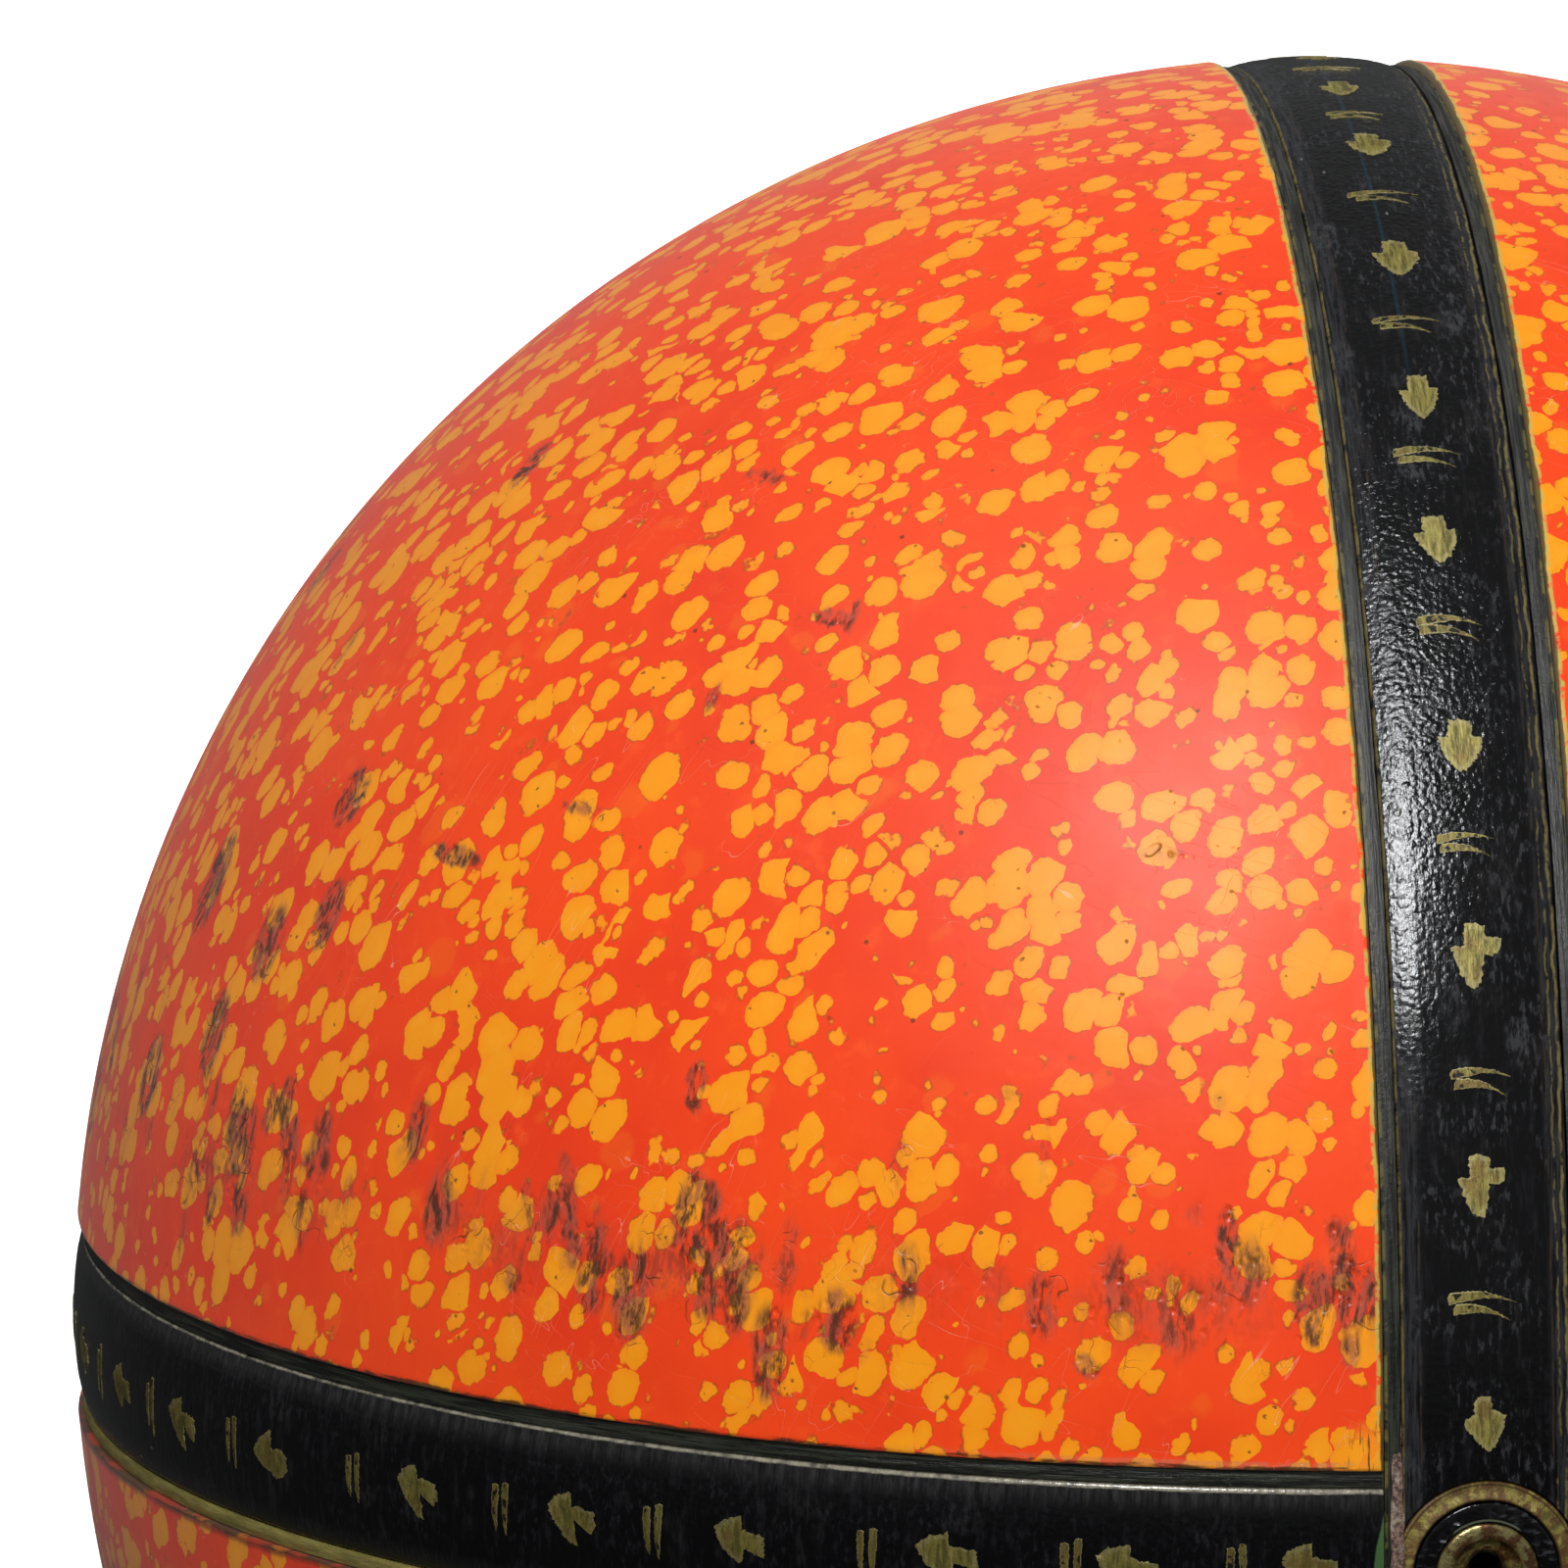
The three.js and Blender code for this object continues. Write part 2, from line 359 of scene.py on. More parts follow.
def rubbedPanelEdges(f, colour):
    # gold undercoat shows beside the vertical band, and pinkish primer above the horizontal one
    look = spottedLook
    wander = f.times(f.minus(f.noise(f.place, 0.45, 4.0, 0.65), 0.5), 0.34)
    fromVertical = f.plus(f.minus(f.unsigned(f.x), panelEdge), wander)
    fromHorizontal = f.plus(f.minus(f.unsigned(f.z), panelEdge), wander)
    flakes = f.rise(f.noise(f.place, 2.2, 3.0, 0.7), 0.36, 0.52)
    sideStrip = f.times(f.rise(fromVertical, 0.27, 0.20), flakes)
    lowStrip = f.times(f.rise(fromHorizontal, 0.36, 0.26), flakes)
    above = f.rise(f.z, -0.5, 0.5)
    primer = f.times(above, f.rise(f.unsigned(f.x), 24.0, 8.0, 0.5))
    colour = f.mix(f.times(lowStrip, primer), colour, look["primer"])
    below = f.times(f.minus(1.0, above), 0.8)
    colour = f.mix(f.times(f.rise(fromHorizontal, 0.42, 0.20), below), colour, look["rust"])
    dashed = f.rise(f.streaks(f.place, (0.5, 0.5, 3.0), 4.0, 0.7), 0.42, 0.54)
    dashes = f.times(f.rise(fromHorizontal, 0.20, 0.12), dashed)
    colour = f.mix(f.times(dashes, 0.85), colour, look["dash"])
    colour = f.mix(f.times(sideStrip, 0.9), colour, look["undercoat"])
    # scored and dirty in the corners by the crossings
    corner = f.larger(f.minus(fromVertical, 0.5), f.times(f.minus(fromHorizontal, 0.5), 0.6))
    corner = f.rise(f.plus(corner, f.times(wander, 3.0)), 0.75, 0.25)
    colour = f.mix(f.times(corner, 0.7), colour, look["yellowPale"])
    scored = f.streaks(f.place, (8.0, 1.0, 0.7), 3.0, 0.7)
    colour = f.mix(f.times(corner, f.rise(scored, 0.52, 0.60, 0.85)), colour, look["score"])
    olive = f.rise(fromVertical, 0.13, 0.08)
    return f.mix(f.times(olive, 0.85), colour, look["olive"])


def fineScratches(f):
    # two sets that cut across each other
    scratch = 0.0
    for turn, cut in spottedLook["scratches"]:
        spun = f.add("VectorRotate", {"Vector": f.place, "Axis": (0.2, -0.9, 0.3), "Angle": turn}).outputs[0]
        thin = f.unsigned(f.minus(f.noise(f.stretch(spun, (0.9, 0.9, 0.09)), 1.0, 1.0), 0.5))
        here = f.rise(f.noise(f.shift(spun, (9, 4, 2)), 0.20, 3.0), 0.50, 0.62)
        made = f.times(f.rise(thin, cut, 0.0), here)
        scratch = f.larger(scratch, made)
    return scratch


def makeSpottedLacquer():
    look = spottedLook
    f = Finish("spotted_lacquer_finish")
    wide = f.drift(f.place, 0.55, 0.80)
    fine = f.drift(f.place, 2.2, 0.22)
    smoke = f.add("Attribute", attribute_name="smoke").outputs["Fac"]
    spot, colour = spotsAndGround(f, wide, fine)
    pit, colour = pitsAndSpecks(f, spot, colour)
    arc, dimple, colour = smokyBruises(f, smoke, wide, fine, colour)
    crackle = spotCrackle(f, spot, smoke)
    colour = f.mix(crackle, colour, look["outline"])
    colour = rubbedPanelEdges(f, colour)
    scratch = fineScratches(f)
    colour = f.mix(f.times(scratch, 0.32), colour, look["scratch"])

    peel = f.noise(f.place, 0.55, 3.0, 0.55)
    skin = f.noise(f.place, 3.2, 3.0, 0.6)
    height = f.plus(f.times(peel, 0.5), f.times(skin, 0.10))
    height = f.plus(height, f.times(spot, 0.05))
    for hollow, deep in ((pit, 0.4), (arc, 0.5), (dimple, 0.9), (crackle, 0.4)):
        height = f.minus(height, f.times(hollow, deep))
    normal = f.bump(height, 0.06, 0.8)
    normal = f.bump(f.minus(1.0, scratch), 0.02, 0.6, normal)
    rough = f.spread(f.noise(f.place, 0.3, 3.0, 0.6), 0.30, 0.46)
    rough = f.minus(rough, f.times(dimple, 0.22))
    return f.done(colour, rough, normal, look["shader"])


blackLook = {
    "black": (0.0016, 0.0016, 0.0020),
    "grey": (0.013, 0.013, 0.016),
    "rubbed": (0.045, 0.042, 0.041),
    "fleck": (0.042, 0.043, 0.048),
    "bevel": (0.027, 0.0275, 0.030),
    "cream": (0.42, 0.39, 0.29),
    "gold": (0.24, 0.19, 0.065),
    "brown": (0.050, 0.030, 0.016),
    "green": (0.055, 0.125, 0.045),
    # painted reflection, for the bluish streak high on the vertical band
    "paintedBlueReflection": (0.006, 0.030, 0.052),
    # painted highlight, for the pale arc round the boss's eyelet
    "paintedGlint": (0.16, 0.18, 0.12),
    "olive": (0.020, 0.018, 0.005),
    "nick": (0.25, 0.25, 0.27),
    # how strongly and how finely each ring is brushed: along the vertical band, across the horizontal one
    "vertical": {
        "brush": (3.2, 0.42, 1.0), "fleck": (5.2, 1.7, 1.0), "flecked": "fleck",
        "bevel": (9.0, 0.45, 1.0), "bevelShare": 0.9, "blotShare": 0.75,
    },
    "horizontal": {
        "brush": (0.75, 2.6, 1.0), "fleck": (2.2, 4.4, 1.0), "flecked": "grey",
        "bevel": (0.45, 9.0, 1.0), "bevelShare": 0.35, "blotShare": 0.2,
    },
    "boss": {"brush": (0.75, 2.6, 1.0), "fleck": (5.2, 1.7, 1.0), "flecked": "fleck"},
    "shader": {"IOR": 1.5, "Specular IOR Level": 0.58},
}


def bevelledSides(f, strip, across, flecks, brushed, colour):
    # the bevelled sides are greyer and finely streaked, and some places carry dull oval blots
    streaky = f.streaks(strip, brushed["bevel"], 3.0, 0.6)
    side = f.times(f.rise(f.unsigned(across), 2.05, 2.5), f.rise(streaky, 0.36, 0.62, brushed["bevelShare"]))
    colour = f.mix(side, colour, blackLook["bevel"])
    oval = f.shift(f.stretch(strip, (1.0, 0.6, 1.0)), f.drift(strip, 1.2, 0.5))
    blot, blotColour = f.cells(oval, 1.9)
    chosen = f.rise(f.pick(blotColour), 0.50, 0.65, brushed["blotShare"])
    blot = f.times(f.rise(blot, 0.62, 0.34), chosen)
    return f.mix(f.times(blot, f.rise(flecks, 0.40, 0.60)), colour, blackLook["fleck"])


def dustyNicks(f, strip):
    # short pale scratches and dots of dust
    nick, nickColour = f.cells(f.stretch(strip, (1.0, 0.45, 1.0)), 0.62)
    return f.times(f.rise(nick, 0.07, 0.03), f.rise(f.pick(nickColour), 0.86, 0.90))


def bossPaintedGlint(f, colour):
    # painted highlight: a pale arc outside the eyelet, where light would catch a slight ridge, broken up by
    # noise
    worn = f.rise(f.noise(f.place, 0.7, 2.0), 0.45, 0.55)
    arc = f.times(f.band(f.fromAxis(), 1.86, 1.93, 0.02), worn)
    return f.mix(f.times(arc, 0.6), colour, blackLook["paintedGlint"])


def verticalEdges(f, strip, across, angle, edge, colour):
    # a hairline of gold along the left edge and two wavy, half lost ones along the right
    look = blackLook
    worn = f.rise(f.noise(strip, 0.9, 5.0, 0.75), 0.34, 0.58)
    right = f.rise(across, -0.1, 0.1)
    left = f.minus(1.0, right)
    hair = f.times(f.rise(edge, 0.11, 0.07), f.times(worn, left))
    colour = f.mix(f.times(hair, 0.6), colour, look["gold"])
    waver = f.times(f.minus(f.noise(strip, 0.5, 3.0, 0.6), 0.5), 0.5)
    wavy = f.plus(edge, waver)
    first = f.times(f.band(wavy, 0.08, 0.19, 0.03), worn)
    half = f.rise(f.noise(strip, 0.9, 4.0, 0.7), 0.44, 0.56)
    second = f.times(f.band(wavy, 0.40, 0.47, 0.03), half)
    lines = f.times(f.larger(first, f.times(second, 0.7)), right)
    colour = f.mix(f.times(lines, 0.7), colour, look["gold"])
    broken = f.rise(f.noise(strip, 0.5, 4.0, 0.7), 0.46, 0.56, 0.6)
    inner = f.times(f.band(edge, 0.62, 0.68, 0.03), broken)
    colour = f.mix(inner, colour, look["brown"])
    # painted reflection: a bluish streak near the middle, high on the band
    centre = f.band(f.plus(across, f.times(angle, 0.16)), -0.23, -0.13, 0.07)
    centre = f.times(centre, f.band(angle, 1.0, 1.9, 0.15))
    return f.mix(f.times(centre, 0.7), colour, look["paintedBlueReflection"])


def horizontalEdges(f, strip, across, angle, edge, wander, brush, colour):
    # the cream line along the upper edge is whole near the crossing and half lost further round
    look = blackLook
    upper = f.rise(across, -0.1, 0.1)
    quarter = math.pi / 2
    fade = f.rise(f.unsigned(f.minus(f.unsigned(angle), quarter)), 0.5, 1.45)
    whole = f.plus(f.noise(strip, 0.9, 5.0, 0.75), f.times(fade, 0.12))
    dust = f.spread(f.noise(strip, 8.0, 2.0, 0.6), 0.45, 1.25)
    line = f.rise(f.minus(edge, f.plus(0.09, f.times(fade, 0.08))), 0.04, -0.04)
    line = f.times(line, f.times(f.rise(whole, 0.34, 0.58), dust))
    line = f.smaller(f.times(line, upper), 1.0)
    colour = f.mix(f.times(line, 0.9), colour, look["cream"])
    haze = f.times(f.rise(edge, 0.95, 0.12), f.times(upper, f.rise(brush, 0.40, 0.72, 0.65)))
    colour = f.mix(haze, colour, look["rubbed"])
    lower = f.minus(1.0, upper)
    olive = f.times(f.rise(edge, 0.55, 0.1), lower)
    colour = f.mix(f.times(olive, 0.8), colour, look["olive"])
    # a green worn sliver at each end, against the vertical band
    fromEnd = f.minus(f.unsigned(f.x), panelEdge)
    bow = f.math("POWER", f.unsigned(f.plus(across, 0.9)), 2.0)
    sliver = f.minus(0.40, f.times(bow, 0.045))
    green = f.rise(f.minus(f.plus(fromEnd, wander), sliver), 0.04, -0.04)
    return f.mix(f.times(green, 0.9), colour, look["green"])


def makeBlackLacquer(name, ring):
    look = blackLook
    brushed = look[ring]
    f = Finish(name)
    across, other = (f.x, f.z) if ring == "vertical" else (f.z, f.times(f.x, -1.0))
    angle = f.math("ARCTAN2", other, f.times(f.y, -1.0))
    strip = f.join(across, f.times(angle, ballRadius), 0.0)  # the band laid flat

    brush = f.streaks(strip, brushed["brush"], 4.0, 0.65)
    flecks = f.streaks(strip, brushed["fleck"], 3.0, 0.6)
    patches = f.noise(strip, 0.32, 3.0, 0.6)
    colour = f.mix(f.rise(brush, 0.50, 0.80, 0.85), look["black"], look["grey"])
    rubbed = f.times(f.rise(patches, 0.52, 0.75), f.rise(brush, 0.42, 0.62, 0.30))
    colour = f.mix(rubbed, colour, look["rubbed"])
    fleckPatches = f.rise(f.noise(strip, 0.30, 2.0, 0.5), 0.42, 0.58)
    fleckShare = f.times(f.rise(flecks, 0.51, 0.68, 0.8), fleckPatches)
    colour = f.mix(fleckShare, colour, look[brushed["flecked"]])
    if ring != "boss":
        colour = bevelledSides(f, strip, across, flecks, brushed, colour)
    nick = dustyNicks(f, strip)
    colour = f.mix(f.times(nick, 0.55), colour, look["nick"])

    # the crown's edges, rubbed through to the cream and gold coats
    wander = f.times(f.minus(f.noise(strip, 0.8, 4.0, 0.7), 0.5), 0.14)
    edge = f.minus(bandHalf, f.plus(f.unsigned(across), wander))
    if ring == "boss":
        colour = bossPaintedGlint(f, colour)
    elif ring == "vertical":
        colour = verticalEdges(f, strip, across, angle, edge, colour)
    else:
        colour = horizontalEdges(f, strip, across, angle, edge, wander, brush, colour)

    # pebbled away from the crossings, nearly smooth beside them
    pebble = f.cells(f.shift(strip, f.drift(strip, 2.4, 0.16)), 0.27)[0]
    pebbleFine = f.noise(strip, 6.0, 3.0, 0.6)
    height = f.plus(f.times(f.rise(pebble, 0.20, 0.0), 0.30), f.times(pebbleFine, 0.42))
    if ring == "vertical":
        quarter = math.pi / 2
        turned = f.minus(quarter, f.unsigned(f.minus(f.unsigned(angle), quarter)))
        height = f.times(height, f.plus(0.25, f.rise(turned, 0.28, 0.75, 1.1)))
    else:
        height = f.times(height, 0.35)
    height = f.plus(height, f.times(brush, 0.4))
    height = f.minus(height, f.times(nick, 0.5))
    normal = f.bump(height, 0.050, 1.0)
    rough = f.spread(f.noise(strip, 0.6, 3.0, 0.6), 0.10, 0.21)
    return f.done(colour, rough, normal, look["shader"])


filletLook = {
    "dark": (0.008, 0.009, 0.007),
    "light": (0.034, 0.037, 0.026),
    "darkSheenTop": (0.016, 0.017, 0.015),  # painted reflection: greyer where the fillet climbs to the top
    "lightSheenTop": (0.055, 0.055, 0.048),
    "grain": (0.085, 0.070, 0.030),
    "wear": (0.16, 0.14, 0.04),
    "shader": {"Specular IOR Level": 0.4},
}


def makeFilletPaint():
    # streaks run lengthwise: along the vertical fillets, or along the horizontal ones
    look = filletLook
    f = Finish("fillet_paint_finish")
    far = f.unsigned(f.x)
    upright = f.rise(far, filletOuter + 0.04, filletOuter + 0.02)
    upStreak = f.streaks(f.place, (8.0, 0.35, 0.35), 3.0, 0.65)
    flatStreak = f.streaks(f.place, (0.35, 0.35, 8.0), 3.0, 0.65)
    streak = f.plus(f.times(upright, upStreak), f.times(f.minus(1.0, upright), flatStreak))
    fine = f.noise(f.place, 5.0, 3.0, 0.6)
    # painted reflection: the upright fillets turn greyer towards the top of the ball
    high = f.times(upright, f.rise(f.z, 0.12 * ballRadius, 0.6 * ballRadius))
    dark = f.mix(high, look["dark"], look["darkSheenTop"])
    light = f.mix(high, look["light"], look["lightSheenTop"])
    colour = f.mix(f.rise(streak, 0.40, 0.64), dark, light)
    colour = f.mix(f.rise(fine, 0.60, 0.80, 0.4), colour, look["grain"])
    wear = f.minus(f.larger(f.smaller(far, filletOuter), 0.0), filletOuter - 0.13)
    wear = f.times(f.rise(wear, -0.02, 0.05), f.rise(f.noise(f.place, 0.9, 3.0, 0.7), 0.45, 0.55))
    wear = f.times(wear, f.rise(far, filletOuter + 0.1, filletOuter + 0.02))
    colour = f.mix(f.times(wear, 0.7), colour, look["wear"])
    normal = f.bump(f.plus(streak, f.times(fine, 0.5)), 0.06, 1.0)
    return f.done(colour, f.spread(fine, 0.30, 0.55), normal, look["shader"])


giltLook = {
    "gilt": (0.30, 0.25, 0.058),
    "giltPale": (0.46, 0.40, 0.13),
    "giltBrown": (0.20, 0.105, 0.032),
    "giltOlive": (0.120, 0.105, 0.026),
    "giltEdge": (0.47, 0.42, 0.21),
    "grain": (0.030, 0.022, 0.010),
    "stroke": (0.115, 0.080, 0.028),
    "dull": (0.048, 0.040, 0.005),
    "undercoat": (0.125, 0.050, 0.024),
    "dirt": (0.024, 0.015, 0.008),
    # painted shadow, for the rim's outer edge
    "rubbed": (0.035, 0.018, 0.010),
    "shader": {"Metallic": 0.35},
}


def leafEdges(f, grain, dim, colour):
    # paler along the outline, where the brush left a ridge, and bare patches inside the thin strokes
    look = giltLook
    edge = f.add("Attribute", attribute_name="edge").outputs["Fac"]
    thin = f.add("Attribute", attribute_name="thin").outputs["Fac"]
    pale = f.times(f.rise(edge, 0.55, 0.85), f.rise(grain, 0.34, 0.52))
    colour = f.mix(f.times(pale, f.spread(thin, 0.40, 0.85)), colour, look["giltEdge"])
    colour = f.mix(f.times(thin, 0.25), colour, look["stroke"])
    colour = f.mix(dim, colour, look["dull"])
    patches = f.rise(f.noise(f.place, 2.4, 2.0, 0.6), 0.54, 0.60)
    bare = f.times(f.times(thin, f.rise(edge, 0.62, 0.38)), patches)
    return f.mix(f.times(bare, 0.95), colour, blackLook["black"])


def rimWear(f, colour):
    # reddish undercoat shows in patches, dirt lies in the grooves on both sides, and a painted shadow
    # darkens the rim's outer edge
    look = giltLook
    radial = f.fromAxis()
    bare = f.noise(f.stretch(f.place, (1.0, 0.3, 1.0)), 3.0, 4.0, 0.75)
    colour = f.mix(f.rise(bare, 0.43, 0.57, 0.82), colour, look["undercoat"])
    outer = f.band(radial, bossRadius - 0.17, bossRadius - 0.11, 0.02)
    inner = f.rise(radial, bossRadius - 0.60, bossRadius - 0.67)
    colour = f.mix(f.times(f.larger(outer, inner), 0.75), colour, look["dirt"])
    # painted shadow along the rim's outermost edge
    paintedOuterShadow = f.times(f.rise(radial, bossRadius - 0.06, bossRadius - 0.02), 0.85)
    return f.mix(paintedOuterShadow, colour, look["rubbed"])


def makeGilt(name, style, dim=0.0):
    # style "leaf" is brushed motif gilding, "rim" the boss ring, "strip" the gilded fillet
    look = giltLook
    f = Finish(name)
    if style == "rim":
        spin = f.math("ARCTAN2", f.z, f.x)
        place = f.join(f.times(spin, 9.0), f.times(f.fromAxis(), 1.2), 0.0)
    elif style == "leaf":
        place = f.stretch(f.place, (6.5, 1.1, 1.1))
    else:
        place = f.stretch(f.place, (0.6, 0.6, 4.0))
    brush = f.noise(place, 1.0, 4.0, 0.65)
    patches = f.noise(f.place, 0.9, 3.0, 0.6)
    colour = f.mix(f.rise(brush, 0.38, 0.56), look["giltOlive"], look["gilt"])
    colour = f.mix(f.rise(brush, 0.56, 0.70, 0.85), colour, look["giltPale"])
    colour = f.mix(f.rise(patches, 0.52, 0.66, 0.55), colour, look["giltBrown"])
    grain = f.noise(f.place, 9.0, 3.0, 0.6)
    colour = f.mix(f.rise(grain, 0.62, 0.74, 0.7), colour, look["grain"])
    if style == "leaf":
        colour = leafEdges(f, grain, dim, colour)
    elif style == "strip":
        colour = f.mix(0.4, colour, look["giltPale"])
    else:
        colour = rimWear(f, colour)
    normal = f.bump(f.plus(brush, f.times(grain, 0.4)), 0.05, 1.0)
    return f.done(colour, f.spread(grain, 0.38, 0.62), normal, look["shader"])


brassLook = {
    "brass": (0.42, 0.36, 0.15),
    "tarnish": (0.17, 0.085, 0.040),
    "grain": (0.06, 0.04, 0.02),
    # painted shade, for the inside of the eyelet's hole
    "hole": (0.010, 0.007, 0.004),
    "shader": {"Metallic": 0.8},
}


def makeAgedBrass():
    look = brassLook
    f = Finish("aged_brass_finish")
    radial = f.fromAxis()
    patches = f.noise(f.place, 1.5, 4.0, 0.65)
    grain = f.noise(f.place, 7.0, 3.0, 0.6)
    colour = f.mix(f.rise(patches, 0.44, 0.56), look["brass"], look["tarnish"])
    colour = f.mix(f.rise(grain, 0.60, 0.75, 0.7), colour, look["grain"])
    # painted shade: near black towards the middle, down the eyelet's hole
    colour = f.mix(f.rise(radial, 0.85, 0.45, 0.95), colour, look["hole"])
    normal = f.bump(f.plus(patches, f.times(grain, 0.5)), 0.05, 1.0)
    return f.done(colour, f.spread(grain, 0.18, 0.40), normal, look["shader"])


woodLook = {
    "pale": (0.42, 0.24, 0.105),
    "ring": (0.27, 0.135, 0.052),
    "pore": (0.12, 0.055, 0.022),
}


def makeCoreWood():
    look = woodLook
    f = Finish("core_wood_finish")
    warped = f.shift(f.place, f.drift(f.place, 0.04, 9.0, 2.0))
    growth = {"Vector": warped, "Scale": 0.085, "Distortion": 1.5, "Detail": 2.0}
    rings = f.add("TexWave", growth, wave_type="RINGS").outputs["Fac"]
    pores = f.streaks(f.place, (2.6, 0.25, 2.6), 4.0, 0.65)
    colour = f.mix(rings, look["pale"], look["ring"])
    colour = f.mix(f.rise(pores, 0.55, 0.72, 0.6), colour, look["pore"])
    normal = f.bump(f.plus(pores, f.times(rings, 0.3)), 0.10, 0.7)
    return f.done(colour, f.spread(pores, 0.50, 0.75), normal)


crustLook = {
    "dark": (0.055, 0.032, 0.026),
    "light": (0.26, 0.165, 0.125),
    "chalk": (0.42, 0.37, 0.28),
}


def makeCrust():
    look = crustLook
    f = Finish("crust_finish")
    grain = f.noise(f.place, 6.0, 4.0, 0.7)
    patches = f.noise(f.place, 1.3, 3.0, 0.6)
    colour = f.mix(f.rise(grain, 0.38, 0.62), look["dark"], look["light"])
    colour = f.mix(f.rise(patches, 0.50, 0.65, 0.7), colour, look["chalk"])
    normal = f.bump(grain, 0.10, 1.0)
    return f.done(colour, 0.7, normal)


print("finishes")
spottedLacquer = makeSpottedLacquer()
blackVertical = makeBlackLacquer("black_lacquer_lengthwise", "vertical")
blackHorizontal = makeBlackLacquer("black_lacquer_crosswise", "horizontal")
filletPaint = makeFilletPaint()
blackBoss = makeBlackLacquer("black_lacquer_boss", "boss")
giltLeaf = {
    "vertical": makeGilt("gilt_leaf_finish", "leaf"),
    "horizontal": makeGilt("gilt_leaf_dull_finish", "leaf", 0.5),
}
giltRim = makeGilt("gilt_rim_finish", "rim")
giltStrip = makeGilt("gilt_strip_finish", "strip")
agedBrass = makeAgedBrass()
crustFinish = makeCrust()
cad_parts["core"].data.materials[0] = makeCoreWood()


panelShape = {
    "rows": 330,
    "columns": 230,
    "underColumns": 12,
    "wave": 0.016,  # hand-laid lacquer is never a true sphere
    "waveLength": 7.0,
    # in from the edge, down from the surface
    "roundedEdge": ((0.13, 0.0), (0.07, 0.018), (0.025, 0.055), (0.0, 0.13)),
}

# each bruise: degrees round from the front boss, degrees up from the horizontal band,
# length, width and depth in millimetres, and how dark its smoke is
bruises = {
    "placed": (
        (36.7, 13.8, 1.5, 0.6, 0.05, 1.0), (32.1, 8.3, 1.6, 0.6, 0.05, 1.0),
        (29.0, 10.0, 1.1, 0.6, 0.05, 0.9), (5.8, 12.1, 1.0, 0.9, 0.06, 1.0),
        (7.6, 11.7, 1.3, 0.7, 0.05, 0.9), (41.5, 10.7, 1.3, 0.6, 0.04, 0.8),
        (51.1, 12.5, 1.4, 0.6, 0.04, 0.8), (53.3, 15.6, 1.3, 0.5, 0.03, 0.7),
        (25.9, 12.2, 1.2, 0.5, 0.04, 0.6), (19.6, 11.3, 1.2, 0.6, 0.05, 0.6),
        (13.5, 11.1, 1.6, 0.9, 0.05, 0.5), (39.3, 10.1, 1.5, 0.7, 0.05, 0.9),
        (35.5, 12.6, 1.2, 0.8, 0.05, 0.9), (34.0, 10.6, 1.3, 0.5, 0.05, 0.8),
        (66.5, 12.3, 1.6, 0.8, 0.04, 0.8), (78.7, 13.8, 1.5, 0.9, 0.04, 0.8),
        (67.1, 29.1, 1.1, 0.8, 0.08, 1.0), (64.7, 23.8, 1.2, 0.7, 0.08, 1.0),
        (78.5, 23.0, 1.8, 0.9, 0.06, 1.0), (56.3, 27.8, 0.35, 1.3, 0.05, 1.0),
        (69.3, 21.7, 1.4, 0.9, 0.05, 0.8), (48.8, 31.0, 0.25, 1.1, 0.04, 0.6),
        (37.7, 41.7, 0.28, 0.75, 0.09, 1.0), (48.2, 48.6, 0.3, 1.0, 0.04, 0.6),
        (15.5, 31.4, 0.3, 1.1, 0.03, 0.4), (10.4, 13.0, 1.3, 0.8, 0.05, 0.5),
        (16.4, 12.4, 1.4, 0.6, 0.05, 0.5), (44.2, 13.2, 1.2, 0.6, 0.04, 0.6),
        (72.0, 17.0, 1.5, 0.8, 0.05, 0.9), (60.0, 14.0, 1.4, 0.6, 0.04, 0.6),
    ),
    "perPanel": 230,
    "veil": 0.34,
    "beltHeight": 5.9,  # millimetres above the band
    "beltSpread": 1.8,
}


def lunePoint(rowShare, columnShare, edge, radius):
    # rows run from the front boss to the back one, columns from one band to the other
    start = math.asin(edge * math.sqrt(2) / radius)
    polar = start + (math.pi - 2 * start) * rowShare
    out = radius * np.sin(polar)
    low = np.arcsin(np.minimum(edge / out, math.sqrt(0.5)))
    turn = low + (math.pi / 2 - 2 * low) * columnShare
    parts = np.broadcast_arrays(out * np.cos(turn), -radius * np.cos(polar), out * np.sin(turn))
    return np.stack(parts, axis=-1)


def bruiseList(sideX, sideZ):
    draw = random.Random(f"bruises {sideX} {sideZ}")
    made = list(bruises["placed"]) if (sideX, sideZ) == (-1, 1) else []
    for _ in range(bruises["perPanel"]):
        around = draw.uniform(3, 177)
        height = abs(draw.gauss(bruises["beltHeight"], bruises["beltSpread"])) + 0.6
        if draw.random() < 0.10:
            height = draw.uniform(8, 34)
        up = math.degrees((panelEdge + height) / ballRadius)
        crowd = 0.5 + 0.5 * math.sin(around * 0.23 + sideX * 2 + sideZ)
        length, width = draw.uniform(0.4, 1.3), draw.uniform(0.20, 0.5)
        deep, dark = draw.uniform(0.01, 0.05), draw.uniform(0.15, 0.75) * (0.5 + crowd)
        made.append((around, up, length, width, deep, dark))
    return made


